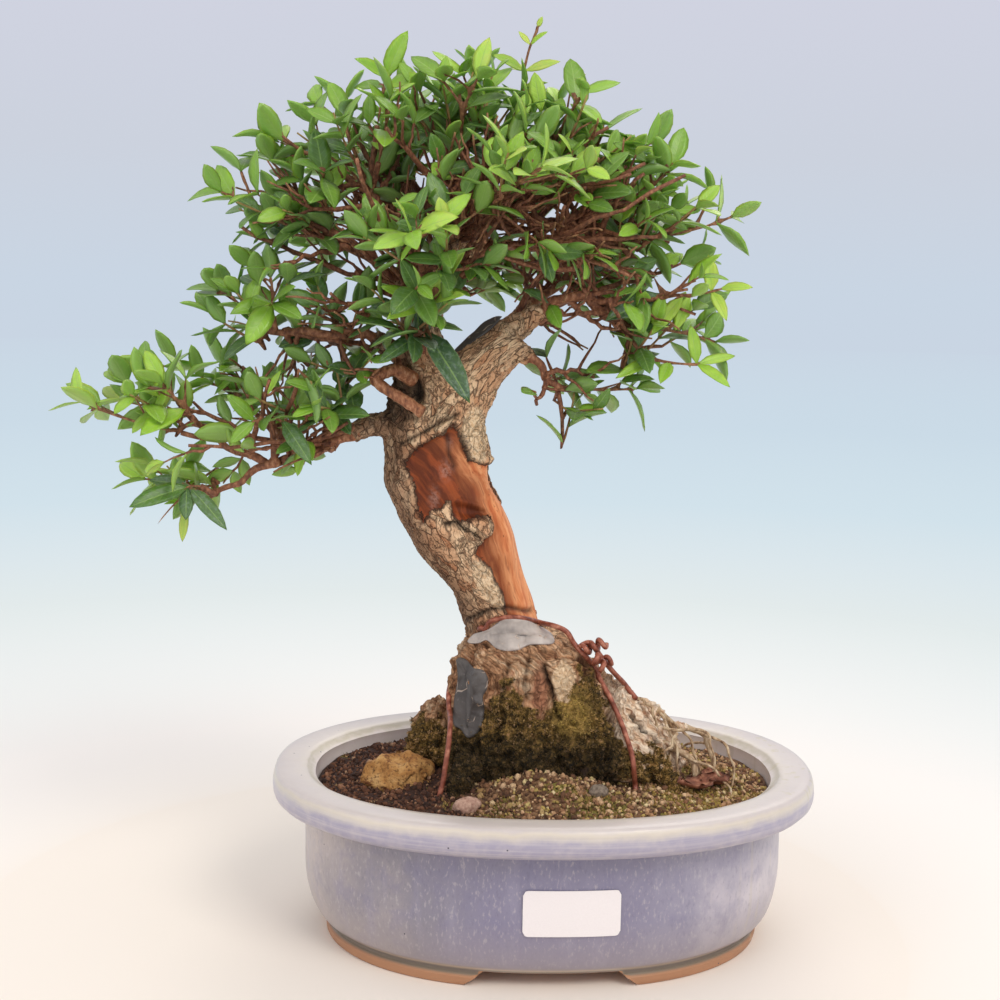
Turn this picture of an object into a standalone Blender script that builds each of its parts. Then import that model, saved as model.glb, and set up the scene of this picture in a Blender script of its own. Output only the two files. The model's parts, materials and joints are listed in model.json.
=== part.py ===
"""Common myrtle bonsai planted in an oval glazed pot.

Lengths are in millimetres and become metres where a mesh is made. While it is modelled, the
pot's centre is at x = y = 0 and the table top is at z = 0. Last, everything is moved sideways
so that the origin is under the middle of the whole plant and pot.
"""

import math
import random

import bmesh
import bpy
from mathutils import Matrix, Quaternion, Vector
from mathutils.bvhtree import BVHTree

MM = 0.001
GAP = 0.3

# Pot: half axes along x and y of its squarish ovals, and heights above the table
OVAL_POWER = 2.2
POT_SIDES = 32
POT_HEIGHT = 70.0
RIM_HALF = (115.0, 90.0)
RIM_WIDTH = 15.0
RIM_THICKNESS = 14.0
BODY_HALF = (101.5, 77.0)
FOOT_HALF = (92.0, 73.0)
BODY_ROUNDING = 24.0
FOOT_HEIGHT = 6.5
FOOT_WIDTH = 12.0
FLOOR_TOP = 13.0
INNER_LEVELS = (58.0, 36.0, FLOOR_TOP)
INNER_TOP_HALF = (98.0, 73.0)
INNER_FLOOR_HALF = (88.0, 64.0)
NOTCH_HALF_WIDTH_LOW = 36.0
NOTCH_HALF_WIDTH_HIGH = 26.5
DRAIN_X = 45.0
DRAIN_RADIUS = 7.0
SCREEN_RADIUS = 12.0
SCREEN_THICKNESS = 1.2
SCREEN_HOLES = 5
SCREEN_HOLE_RING = 7.5
SCREEN_HOLE_RADIUS = 1.6

# Soil
SOIL_EDGE = 61.0
MOUND_HEIGHT = 12.5
MOUND_CENTRE = (5.0, -2.0)
MOUND_SPREAD = (58.0, 40.0)

# Paper label on the front wall
LABEL_CENTRE = (7.0, 32.5)
LABEL_SIZE = (38.0, 18.5)
LABEL_CORNER = 2.0
LABEL_THICKNESS = 0.5

# Wire, cut paste and their seats
WIRE_RADIUS = 1.35
WIRE_SIDES = 5
PASTE_THICKNESS = 1.3
PASTE_SEAT = 0.45

# Foliage
LEAF_THICKNESS = 0.85
LEAF_WIDTH_SHARE = (0.42, 0.5)
LEAF_LENGTHS = {"tip": (14, 18), "pair": (16, 21), "side": (14, 19), "outer": (18, 25)}
LEAF_SPREADS = {"tip": 42, "pair": 58, "side": 46, "outer": 62}
LARGE_LEAF = 18.0
LARGE_LEAF_SECTIONS = ((0.33, 0.5, 0.04), (0.68, 0.42, 0.02))
SMALL_LEAF_SECTIONS = ((0.42, 0.5, 0.04),)
LEAF_TRIES = 14
LEAF_CLEARANCE = 0.45
ROOT_DEPTH = 1.3
SPRAY_STEM_RADIUS = (1.15, 0.8)
SIDE_STEM_RADIUS = (0.85, 0.65)
SIDE_STEM_SHARES = (0.28, 0.56)
SIDE_STEM_REACH = (0.4, 0.5)
SHORTEST_REACH = 28.0
TWIG_END_RADIUS = 1.265
TWIG_ROOT_RADIUS = 1.9
TWIG_REACH = (0.22, 0.3)
TWIG_ELBOW = 2.5
SEED = 271
GOLDEN_ANGLE = 2.39996
SPRAY_TRIES = 60
STRAY = 3.0
STRAY_STEP = 0.12

# Old stump: height, then how far it reaches to the left, right, front and back
STUMP_SIDES = 24
STUMP_ROWS = (
    (50.0, -34.0, 46.0, -20.0, 28.0),
    (62.0, -38.0, 55.0, -27.0, 33.0),
    (72.0, -40.0, 57.0, -29.0, 34.0),
    (82.0, -40.0, 53.0, -28.0, 33.0),
    (92.0, -39.0, 44.0, -26.0, 31.0),
    (102.0, -39.0, 34.0, -25.0, 29.0),
    (111.0, -38.5, 22.0, -24.0, 27.0),
    (118.5, -36.0, 14.0, -21.5, 24.0),
    (126.0, -31.0, 8.0, -12.0, 21.0),
)

# Trunk: height, middle along x and y, half width and half depth
TRUNK_SIDES = 16
TRUNK_ROWS = (
    (108.0, -10.0, 6.0, 19.0, 16.0),
    (120.0, -15.0, 6.0, 17.5, 15.5),
    (130.0, -18.5, 5.5, 16.5, 15.0),
    (140.0, -22.0, 4.0, 17.0, 15.5),
    (150.0, -27.5, 2.0, 18.5, 16.0),
    (160.0, -33.5, 0.0, 21.5, 18.0),
    (170.0, -37.0, -0.5, 23.0, 19.5),
    (180.0, -41.0, -1.0, 23.0, 20.0),
    (190.0, -46.0, -1.0, 22.0, 19.5),
    (200.0, -46.0, -1.0, 21.5, 19.0),
    (211.0, -47.5, -1.0, 21.0, 18.5),
    (221.0, -47.0, -0.5, 20.0, 17.5),
    (231.0, -48.5, 0.0, 16.5, 15.0),
    (239.0, -51.0, 0.5, 11.5, 11.5),
)

# Limbs and boughs: points along the middle, each with its radius there
LIMBS = {
    "upright": (
        (-50, 2, 224, 13.5),
        (-53, 2, 243, 10.0),
        (-56, 3, 262, 7.2),
        (-57, 4, 283, 5.2),
    ),
    "right": (
        (-44, -2, 212, 15.0),
        (-34, -2, 233, 12.6),
        (-23, -2, 245, 10.4),
        (-15, -2, 251.5, 9.0),
    ),
}
BOUGHS = {
    "low_left": (
        (-58, -2, 213, 7.0),
        (-73, -5, 214, 4.6),
        (-86, -7, 208, 4.0),
        (-102, -8, 201, 3.6),
        (-118, -6, 198, 3.2),
        (-134, -3, 205, 2.4),
        (-147, -2, 214, 2.0),
    ),
    "low_left_tail": (
        (-112, -7, 199, 3.0),
        (-125, -9, 192, 2.4),
        (-137, -10, 185, 2.0),
    ),
    "low_left_fork": (
        (-100, -8, 202, 3.0),
        (-110, 2, 205, 2.6),
        (-116, 9, 211, 2.2),
    ),
    "middle_left": (
        (-56, 0, 238, 5.0),
        (-76, -6, 250, 3.8),
        (-98, -8, 251, 3.2),
        (-116, -6, 252, 2.6),
    ),
    "upper_left": (
        (-56, 4, 268, 4.6),
        (-74, 2, 280, 3.6),
        (-92, -2, 291, 2.8),
    ),
    "top_left": (
        (-57, 4, 276, 4.8),
        (-66, 4, 294, 3.8),
        (-76, 2, 311, 2.8),
    ),
    "top": (
        (-54, 3, 262, 6.2),
        (-46, 2, 280, 5.2),
        (-40, 1, 300, 4.4),
        (-37, 0, 322, 3.2),
    ),
    "top_right": (
        (-45, 2, 284, 4.6),
        (-28, 5, 297, 3.9),
        (-8, 6, 311, 2.8),
    ),
    "right": (
        (-41, 3, 286, 4.4),
        (-14, -2, 288, 3.6),
        (10, -4, 287, 3.1),
        (26, -3, 290, 2.6),
    ),
    "right_low": (
        (-18, -2, 252, 5.6),
        (-6, -4, 261, 4.2),
        (8, -6, 268, 3.6),
        (22, -6, 261, 3.0),
        (32, -5, 252, 2.5),
    ),
    "droop": (
        (-16, -6, 247, 4.2),
        (-5, -9, 238, 3.0),
        (2, -10, 230, 2.4),
    ),
    "front": (
        (-57, -2, 250, 4.2),
        (-57, -18, 264, 3.4),
        (-53, -32, 277, 2.7),
    ),
    "front_top": (
        (-44, 0, 288, 4.2),
        (-36, -20, 298, 3.2),
        (-30, -34, 306, 2.6),
    ),
    "back": (
        (-53, 6, 252, 5.0),
        (-46, 26, 266, 3.8),
        (-40, 40, 276, 3.0),
    ),
    "back_top": (
        (-43, 5, 290, 4.2),
        (-52, 24, 304, 3.2),
        (-58, 36, 312, 2.6),
    ),
    "back_right": (
        (-18, 2, 254, 4.8),
        (-2, 22, 268, 3.6),
        (10, 34, 276, 2.8),
    ),
    "cut_stub": (
        (-54, -10, 216, 4.6),
        (-64, -17, 223, 3.6),
        (-74, -19, 230, 3.0),
    ),
}

# Shoots drawn one by one, because they show most: the bough that each leaves with the share of
# its length there, the end of its twig, its stems, and its leaves as stem, share of that stem's
# length, tip and width
DRAWN_SHOOTS = {
    "front_low": (
        ("upright", 0.35),
        (-53, -16, 246),
        (
            ((-52.5, -21, 252), (-51, -27, 257), (-52, -33, 265)),
            ((-50, -28, 258), (-36, -34, 257), (-20, -40, 258)),
        ),
        (
            (0, 0.1, (-34, -40, 227), 10.5),
            (0, 0.1, (-70, -38, 242), 7.0),
            (0, 1.0, (-38, -46, 285), 7.2),
            (0, 1.0, (-38, -51, 269), 6.0),
            (0, 1.0, (-66, -52, 259), 7.0),
            (0, 1.0, (-69, -42, 271), 6.0),
            (1, 0.75, (-19, -42, 267), 9.5),
            (1, 1.0, (-9, -44, 261), 6.6),
        ),
    ),
    "low_left_hang": (
        ("low_left_tail", 1.0),
        (-142, -12, 188),
        (
            ((-145, -12.5, 188.5), (-149, -13, 188)),
            ((-148, -12.5, 188), (-150, -8, 178)),
            ((-146, -12.5, 188), (-156, -13, 179), (-161, -14, 172)),
        ),
        (
            (0, 1.0, (-170, -24, 181), 8.8),
            (0, 1.0, (-131, -24, 173), 6.6),
            (0, 0.9, (-148, -22, 176), 6.4),
            (0, 0.6, (-166, -5, 190), 6.0),
            (1, 1.0, (-151, -11, 165), 4.0),
        ),
    ),
    "left_inner": (
        ("low_left", 0.62),
        (-114, -13, 212),
        (
            ((-113, -17, 218), (-117, -21, 217), (-121, -24, 216)),
            ((-114, -19, 218), (-108, -22, 216)),
        ),
        (
            (1, 1.0, (-97, -34, 201), 7.4),
            (0, 1.0, (-130, -30, 227), 6.4),
            (0, 1.0, (-129, -29, 208), 6.0),
        ),
    ),
    "right_tip": (
        ("right", 1.0),
        (40, -8, 277),
        (((44, -10, 269), (55, -12, 269), (62, -13, 270), (68, -14, 272)),),
        (
            (0, 0.0, (20, -26, 259), 10.6),
            (0, 0.33, (49, -16, 255), 5.6),
            (0, 0.25, (38, -24, 253), 6.2),
            (0, 0.75, (61, -17, 285), 6.6),
            (0, 0.75, (68, -24, 260), 5.4),
            (0, 1.0, (79, -19, 273), 4.6),
        ),
    ),
    "right_low_tip": (
        ("right_low", 1.0),
        (35, -8, 247),
        (((39, -9, 243), (51, -11, 241), (60, -12, 241)),),
        (
            (0, 1.0, (55, -15, 257), 5.8),
            (0, 1.0, (71, -22, 233), 5.0),
            (0, 1.0, (76, -5, 245), 4.6),
            (0, 0.1, (25, -22, 236), 5.2),
            (0, 0.35, (43, -22, 234), 6.0),
        ),
    ),
    "top_tip": (
        ("top_right", 0.3),
        (-15, 3, 340),
        (((-14, 2, 356), (-12, 1, 366), (-8, 0, 376)),),
        (
            (0, 1.0, (-6.5, -1, 380), 2.4),
            (0, 0.6, (-5, -5, 373), 2.6),
            (0, 0.6, (-16, 4, 374), 2.6),
            (0, 0.1, (0, -9, 361), 5.2),
            (0, 0.1, (-26, -8, 363), 5.6),
            (0, 0.1, (-20, 16, 362), 5.4),
        ),
    ),
    "top_left_tip": (
        ("top_left", 1.0),
        (-73, 3, 334),
        (((-71, 2, 346), (-69, 0, 355)),),
        (
            (0, 1.0, (-61, -4, 372), 8.2),
            (0, 1.0, (-81, -10, 360), 6.2),
            (0, 0.5, (-54, -15, 353), 8.4),
            (0, 0.5, (-84, 14, 352), 6.0),
        ),
    ),
}
DRAWN_LEAF_FACING = (0.0, -0.85, 0.5)

# Leafy pads: the bough that carries each, its middle, its half sizes, how many sprays it has
# and the lowest share of its height that they point to
PADS = {
    "low_left": ("low_left", (-171, -3, 227), (23, 28, 13), 3, -0.4),
    "low_left_tail": ("low_left_tail", (-156, 2, 191), (16, 16, 8), 1, -0.8),
    "low_left_inner": ("low_left_fork", (-124, 14, 226), (24, 24, 13), 1, 0.0),
    "middle_left": ("middle_left", (-130, -6, 260), (27, 30, 14), 3, -0.3),
    "upper_left": ("upper_left", (-112, -4, 306), (27, 32, 18), 3, -0.3),
    "top_left": ("top_left", (-86, 0, 331), (28, 34, 19), 3, -0.1),
    "top": ("top", (-38, 2, 344), (31, 36, 17), 3, 0.1),
    "top_right": ("top_right", (9, 2, 333), (28, 34, 19), 3, -0.1),
    "right": ("right", (46, -2, 303), (25, 34, 19), 3, -0.3),
    "right_low": ("right_low", (46, 2, 256), (25, 32, 15), 3, -0.6),
    "droop": ("droop", (13, -10, 226), (17, 14, 9), 2, -0.8),
    "front": ("front", (-48, -54, 291), (36, 20, 17), 2, -0.3),
    "inner_left": ("middle_left", (-92, -12, 262), (24, 24, 12), 1, 0.0),
    "front_top": ("front_top", (-20, -54, 314), (38, 22, 18), 2, -0.1),
    "back": ("back", (-38, 60, 284), (38, 22, 24), 2, -0.5),
    "back_top": ("back_top", (-66, 52, 322), (30, 22, 18), 2, 0.0),
    "back_right": ("back_right", (22, 50, 292), (28, 22, 22), 2, 0.0),
}
CROWN_MIDDLE = (-35.0, 0.0)

# Roots that show above the soil, and the lumps that grew at the foot of the stump
ROOTS = (
    ((38, 2, 96, 2.6), (48, 2, 93, 1.9), (55, 0, 86, 1.5), (57, -3, 77, 1.3), (58, -4, 60, 1.2)),
    ((44, 2, 86, 2.4), (58, 3, 85, 1.7), (68, 1, 82, 1.4), (72, -1, 74, 1.2), (73, -3, 58, 1.1)),
    ((46, -6, 80, 3.0), (56, -9, 78, 2.0), (63, -12, 72, 1.6), (66, -14, 58, 1.4)),
    ((40, -14, 76, 5.0), (49, -20, 71, 3.6), (58, -26, 62, 2.6)),
    ((-30, -16, 74, 5.5), (-36, -28, 68, 4.0), (-38, -36, 58, 3.0)),
    ((20, 24, 76, 5.5), (30, 36, 68, 4.0), (36, 44, 58, 3.0)),
)
LUMPS = (
    ((-45, 10, 80), (10, 13, 18)),
    ((30, -26, 75), (8, 6, 6)),
    ((12, -24, 86), (11, 7, 13)),
)

# Wire routes, on the stump where their height is over the soil
TIE_WIRE = (
    (-30, 0, 4.7),
    (-42, 0, 5.0),
    (-45, 0, 12.0),
    (-45, -8, 30.0),
    (-45, -27, 52.0),
    (-44, -31, 64.0),
    (-42.5, -28, 79.0),
    (-42.5, -12, 94.0),
    (-40.5, -1, 111.0),
    (-36, -4, 126.0),
    (-29, -8.5, 133.0),
    (-18, -12, 136.5),
    (-6, -10.5, 135.5),
    (4, -11, 131.0),
    (10.8, -15, 124.1),
    (18.5, -18, 115.0),
    (26.5, -22, 102.6),
    (33.5, -26, 85.7),
    (38, -29, 68.0),
    (43, -20, 50.0),
    (45, -8, 30.0),
    (45, 0, 12.0),
    (42, 0, 5.0),
    (30, 0, 4.7),
)
TWIST_WIRE = (
    (48, 22, 60.0),
    (46, 19, 78.0),
    (42, 14, 92.0),
    (37, 7, 102.0),
    (31, -1, 108.5),
    (25.5, -10, 113.0),
)
PIGTAIL_TURNS = 2.0
PIGTAIL_RADIUS = 2.1
PIGTAIL_PITCH = 3.5
PIGTAIL_STEPS = 11
PIGTAIL_WAY = (-0.25, -0.1, 0.9)

# The cut paste: the way each patch faces, and its outline on the wood
PASTES = {
    "paste_top": (
        (0.0, -0.75, 0.66),
        (
            (-33.7, -12, 124.8),
            (-28, -10, 128.5),
            (-20.1, -9.5, 132.8),
            (-12, -9.5, 133.6),
            (-5.8, -9, 131.8),
            (0.9, -10, 128.1),
            (1.8, -14, 124.5),
            (-8, -16.5, 123.8),
            (-17.6, -18, 122.0),
            (-23, -17.5, 123.3),
            (-29.5, -15, 124.6),
        ),
    ),
    "paste_side": (
        (-0.45, -0.89, 0.0),
        (
            (-36.5, -8, 118),
            (-33.7, -12, 118.6),
            (-30, -15.5, 115),
            (-25.5, -19.5, 111.5),
            (-26.3, -20, 103),
            (-26.3, -20.5, 96),
            (-28.7, -20, 87.7),
            (-33, -17.5, 85.5),
            (-37.5, -12, 91),
            (-38.3, -9.5, 100.6),
            (-37.8, -8, 110),
        ),
    ),
    "paste_fork": (
        (-0.45, -0.4, 0.8),
        (
            (-44, -5, 243),
            (-39, -9, 246),
            (-32, -9, 252),
            (-25, -8, 256),
            (-20, -6, 257.5),
            (-20, -1, 258.5),
            (-26, 0, 256.5),
            (-33, 0, 252),
            (-40, 0, 247),
        ),
    ),
}
PASTE_RINGS = (1.0, 0.62, 0.28)
PASTE_STEP = 0.15
PASTE_CAST = 12.0

STONES = {
    "stone_ochre": ((-61, -9, 66), (15.5, 11.0, 11.0), 11),
    "pebble_pink": ((-33, -45, 64.5), (5.4, 4.4, 4.4), 12),
    "pebble_grey": ((20, -40, 69), (4.4, 4.0, 3.6), 14),
}

# Fallen leaves: the middle of each, its turn about z, its length and its curl in degrees
FALLEN_LEAVES = {
    "fallen_leaf_1": ((66, -20), 20, 21, 150),
    "fallen_leaf_2": ((74, -12), 100, 18, 120),
}

MATERIALS = {
    "glaze": ((0.40, 0.43, 0.60), 0.28, 0.0),
    "soil": ((0.13, 0.07, 0.04), 0.95, 0.0),
    "bark": ((0.34, 0.25, 0.18), 0.85, 0.0),
    "leaf": ((0.09, 0.24, 0.04), 0.45, 0.0),
    "wire": ((0.28, 0.11, 0.08), 0.45, 0.6),
    "paste": ((0.12, 0.12, 0.13), 0.75, 0.0),
    "label": ((0.92, 0.92, 0.91), 0.6, 0.0),
    "stone": ((0.45, 0.28, 0.10), 0.8, 0.0),
    "pebble": ((0.36, 0.24, 0.19), 0.8, 0.0),
    "fallen_leaf": ((0.16, 0.06, 0.04), 0.8, 0.0),
    "screen": ((0.03, 0.03, 0.03), 0.5, 0.0),
}


def clear_scene():
    for obj in list(bpy.data.objects):
        bpy.data.objects.remove(obj)


def material(name):
    """The part's own Principled material of this name."""
    if name in bpy.data.materials:
        return bpy.data.materials[name]
    colour, roughness, metallic = MATERIALS[name]
    made = bpy.data.materials.new(name)
    made.use_nodes = True
    shader = made.node_tree.nodes["Principled BSDF"]
    shader.inputs["Base Color"].default_value = (*colour, 1.0)
    shader.inputs["Roughness"].default_value = roughness
    shader.inputs["Metallic"].default_value = metallic
    return made


# Shapes: a shape is a list of points in millimetres and a list of faces


def make_object(name, shape, finish, smooth=True):
    points, faces = shape
    mesh = bpy.data.meshes.new(name)
    mesh.from_pydata([Vector(p) * MM for p in points], [], faces)
    work = bmesh.new()
    work.from_mesh(mesh)
    bmesh.ops.recalc_face_normals(work, faces=work.faces)
    work.to_mesh(mesh)
    work.free()
    if finish:
        mesh.materials.append(material(finish))
    if smooth:
        mesh.shade_smooth()
        mesh.set_sharp_from_angle(angle=math.radians(40))
    obj = bpy.data.objects.new(name, mesh)
    bpy.context.scene.collection.objects.link(obj)
    return obj


def combine(obj, shapes, operation, solver):
    """One Boolean of the object with a collection of shapes, applied."""
    group = bpy.data.collections.new("shapes")
    bpy.context.scene.collection.children.link(group)
    for shape in shapes:
        piece = make_object("piece", shape, None, smooth=False)
        bpy.context.scene.collection.objects.unlink(piece)
        group.objects.link(piece)
    boolean = obj.modifiers.new("combine", "BOOLEAN")
    boolean.operation = operation
    boolean.solver = solver
    boolean.operand_type = "COLLECTION"
    boolean.collection = group
    bpy.context.view_layer.update()
    evaluated = obj.evaluated_get(bpy.context.evaluated_depsgraph_get())
    mesh = bpy.data.meshes.new_from_object(evaluated)
    obj.modifiers.clear()
    obj.data = mesh
    for piece in list(group.objects):
        bpy.data.objects.remove(piece)
    bpy.data.collections.remove(group)


def island_volume(faces):
    total = 0.0
    for face in faces:
        a = face.verts[0].co
        for i in range(1, len(face.verts) - 1):
            total += a.dot(face.verts[i].co.cross(face.verts[i + 1].co)) / 6.0
    return total


def keep_main_body(obj):
    """Drops loose scraps and fills sealed hollows: only the largest closed surface stays."""
    work = bmesh.new()
    work.from_mesh(obj.data)
    left = set(work.faces)
    islands = []
    while left:
        island = []
        stack = [left.pop()]
        while stack:
            face = stack.pop()
            island.append(face)
            for edge in face.edges:
                for other in edge.link_faces:
                    if other in left:
                        left.remove(other)
                        stack.append(other)
        islands.append(island)
    islands.sort(key=lambda island: -island_volume(island))
    for island in islands[1:]:
        bmesh.ops.delete(work, geom=island, context="FACES")
    loose = [v for v in work.verts if not v.link_faces]
    bmesh.ops.delete(work, geom=loose, context="VERTS")
    work.to_mesh(obj.data)
    work.free()


def fuse(name, shapes, finish, solver="MANIFOLD"):
    obj = make_object(name, shapes[0], finish)
    combine(obj, shapes[1:], "UNION", solver)
    keep_main_body(obj)
    return obj


def loft(rings):
    """A closed shape through rings of equally many points, with a flat cap at each end."""
    count = len(rings[0])
    points = [p for ring in rings for p in ring]
    faces = [tuple(reversed(range(count)))]
    for row in range(len(rings) - 1):
        low, high = row * count, (row + 1) * count
        for i in range(count):
            j = (i + 1) % count
            faces.append((low + i, low + j, high + j, high + i))
    last = (len(rings) - 1) * count
    faces.append(tuple(range(last, last + count)))
    return points, faces


def signed_power(value, power):
    return math.copysign(abs(value) ** power, value)


def oval(half_x, half_y, z, sides=POT_SIDES, power=OVAL_POWER):
    ring = []
    for i in range(sides):
        angle = 2 * math.pi * i / sides
        x = half_x * signed_power(math.cos(angle), 2 / power)
        y = half_y * signed_power(math.sin(angle), 2 / power)
        ring.append(Vector((x, y, z)))
    return ring


def smooth_path(points, steps):
    """A Catmull-Rom curve through points of any dimension, as lists of numbers."""
    ends = [points[0], *points, points[-1]]
    path = []
    for k in range(1, len(ends) - 2):
        p0, p1, p2, p3 = ends[k - 1], ends[k], ends[k + 1], ends[k + 2]
        for s in range(steps):
            t = s / steps
            path.append(
                [
                    0.5
                    * (
                        2 * b
                        + (c - a) * t
                        + (2 * a - 5 * b + 4 * c - d) * t * t
                        + (3 * b - a - 3 * c + d) * t**3
                    )
                    for a, b, c, d in zip(p0, p1, p2, p3)
                ]
            )
    path.append(list(points[-1]))
    return path


def tube(points, radii, sides):
    """A round bar along points, its rings turned as little as possible."""
    points = [Vector(p[:3]) for p in points]
    heading = (points[1] - points[0]).normalized()
    side = heading.orthogonal().normalized()
    rings = []
    for i, point in enumerate(points):
        after = points[min(i + 1, len(points) - 1)]
        before = points[max(i - 1, 0)]
        new = (after - before).normalized()
        side = heading.rotation_difference(new) @ side
        heading = new
        side = (side - heading * side.dot(heading)).normalized()
        other = heading.cross(side)
        ring = []
        for k in range(sides):
            angle = 2 * math.pi * k / sides
            offset = side * math.cos(angle) + other * math.sin(angle)
            ring.append(point + offset * radii[i])
        rings.append(ring)
    return loft(rings)


def limb(rows, steps, sides, grow=0.0):
    path = smooth_path(rows, steps)
    return tube(path, [row[3] + grow for row in path], sides)


def lump(centre, half, seed, grow=0.0, detail=2, roughness=0.09):
    """A rough rounded body: a ball with uneven reaches."""
    work = bmesh.new()
    bmesh.ops.create_icosphere(work, subdivisions=detail, radius=1.0)
    rng = random.Random(seed)
    waves = [
        (Vector([rng.uniform(-3, 3) for _ in range(3)]), rng.uniform(0, 6.28)) for _ in range(5)
    ]
    points = []
    for vert in work.verts:
        p = vert.co
        reach = 1 + roughness * sum(math.sin(p.dot(w) + phase) for w, phase in waves) / 2
        points.append(
            Vector(centre) + Vector([p[i] * (half[i] * reach + grow) for i in range(3)])
        )
    faces = [tuple(v.index for v in face.verts) for face in work.faces]
    work.free()
    return points, faces


def tree_of(shapes):
    """One search tree over several shapes."""
    points = []
    faces = []
    for shape_points, shape_faces in shapes:
        start = len(points)
        points += shape_points
        faces += [tuple(start + i for i in face) for face in shape_faces]
    return BVHTree.FromPolygons(points, faces)


# Pot


def mix(a, b, t):
    return a + (b - a) * t


def outer_half(z):
    """Half axes of the pot's outside wall below its rim, at this height."""
    low = FOOT_HEIGHT + 1.0
    t = min(1.0, max(0.0, (z - low) / BODY_ROUNDING))
    bulge = math.sqrt(1 - (1 - t) ** 2)
    return tuple(mix(foot, body, bulge) for foot, body in zip(FOOT_HALF, BODY_HALF))


def inner_half(z):
    t = (z - FLOOR_TOP) / (POT_HEIGHT - FLOOR_TOP)
    return tuple(mix(low, high, t**0.7) for low, high in zip(INNER_FLOOR_HALF, INNER_TOP_HALF))


def pot_shape():
    """The section runs from under the floor, round the foot, up the wall, over the rim and in."""
    rings = []
    foot_in = [half - FOOT_WIDTH for half in FOOT_HALF]
    rings.append(oval(foot_in[0] - 1, foot_in[1] - 1, FOOT_HEIGHT))
    rings.append(oval(foot_in[0], foot_in[1], 0.0))
    rings.append(oval(*FOOT_HALF, 0.0))
    rings.append(oval(FOOT_HALF[0] + 0.8, FOOT_HALF[1] + 0.8, 4.0))
    rings.append(oval(FOOT_HALF[0] - 0.6, FOOT_HALF[1] - 0.6, 4.8))
    for z in (FOOT_HEIGHT + 1.2, 11.5, 18.0, 32.0):
        rings.append(oval(*outer_half(z), z))
    rim_low = POT_HEIGHT - RIM_THICKNESS
    reach = [rim - body for rim, body in zip(RIM_HALF, BODY_HALF)]
    rim_section = ((0.02, -1.0), (0.6, 0.8), (0.95, 3.6), (1.0, 7.5), (0.86, 14.0))
    for share, above in rim_section:
        half = [body + r * share for body, r in zip(BODY_HALF, reach)]
        rings.append(oval(half[0], half[1], rim_low + above))
    lip = [rim - RIM_WIDTH for rim in RIM_HALF]
    rings.append(oval(lip[0] + 0.8, lip[1] + 0.8, POT_HEIGHT))
    rings.append(oval(*[half - 1.0 for half in inner_half(POT_HEIGHT)], POT_HEIGHT - 3.0))
    for z in INNER_LEVELS:
        rings.append(oval(*inner_half(z), z))
    return loft(rings)


def notch(side):
    """The slanted gap between the feet, at the front (-1) or the back (1)."""
    top = FOOT_HEIGHT - 0.2
    near = side * (FOOT_HALF[1] - FOOT_WIDTH - 8)
    far = side * (FOOT_HALF[1] + 6)
    rings = []
    for z, half in ((-1.0, NOTCH_HALF_WIDTH_LOW), (top, NOTCH_HALF_WIDTH_HIGH)):
        rings.append(
            [
                Vector((-half, near, z)),
                Vector((half, near, z)),
                Vector((half, far, z)),
                Vector((-half, far, z)),
            ]
        )
    return loft(rings)


def upright_bar(x, y, low, high, radius, sides=20):
    return tube(((x, y, low), (x, y, high)), (radius, radius), sides)


def build_pot():
    pot = make_object("pot", pot_shape(), "glaze")
    cutters = [notch(-1), notch(1)]
    for x in (-DRAIN_X, DRAIN_X):
        cutters.append(upright_bar(x, 0, FOOT_HEIGHT - 2, FLOOR_TOP + 2, DRAIN_RADIUS))
    combine(pot, cutters, "DIFFERENCE", "EXACT")


def build_screens(wires):
    """Plastic mesh discs that keep the soil in, each let through by the tie wire."""
    for name, x in (("drain_screen_left", -DRAIN_X), ("drain_screen_right", DRAIN_X)):
        low = FLOOR_TOP + GAP
        disc = upright_bar(x, 0, low, low + SCREEN_THICKNESS, SCREEN_RADIUS, 14)
        screen = make_object(name, disc, "screen")
        holes = [thick_wire(path) for path in wires]
        for step in range(SCREEN_HOLES):
            angle = 2 * math.pi * step / SCREEN_HOLES
            place = (x + SCREEN_HOLE_RING * math.cos(angle), SCREEN_HOLE_RING * math.sin(angle))
            holes.append(upright_bar(*place, low - 1, low + 3, SCREEN_HOLE_RADIUS, 4))
        combine(screen, holes, "DIFFERENCE", "EXACT")
        keep_main_body(screen)


def build_label():
    """A blank paper label, bent to the wall that it is stuck on."""
    half_w, half_h = LABEL_SIZE[0] / 2, LABEL_SIZE[1] / 2
    straight = half_w - LABEL_CORNER
    columns = [straight * (i / 3 - 1) for i in range(7)]
    for angle in (30, 60, 90):
        reach = straight + LABEL_CORNER * math.sin(math.radians(angle))
        columns += [-reach, reach]
    rings = []
    for x in sorted(columns):
        inset = max(0.0, abs(x) - straight)
        high = half_h - LABEL_CORNER + math.sqrt(max(0.0, LABEL_CORNER**2 - inset**2))
        ring = []
        for outward, z in ((0, high), (0, -high), (1, -high), (1, high)):
            place_x = LABEL_CENTRE[0] + x
            place_z = LABEL_CENTRE[1] + z
            half = outer_half(place_z)
            share = 1 - (abs(place_x) / half[0]) ** OVAL_POWER
            wall = half[1] * share ** (1 / OVAL_POWER)
            y = -(wall + GAP + outward * LABEL_THICKNESS)
            ring.append(Vector((place_x, y, place_z)))
        rings.append(ring)
    make_object("label", loft(rings), "label")


# Stump, trunk and branches


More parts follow.
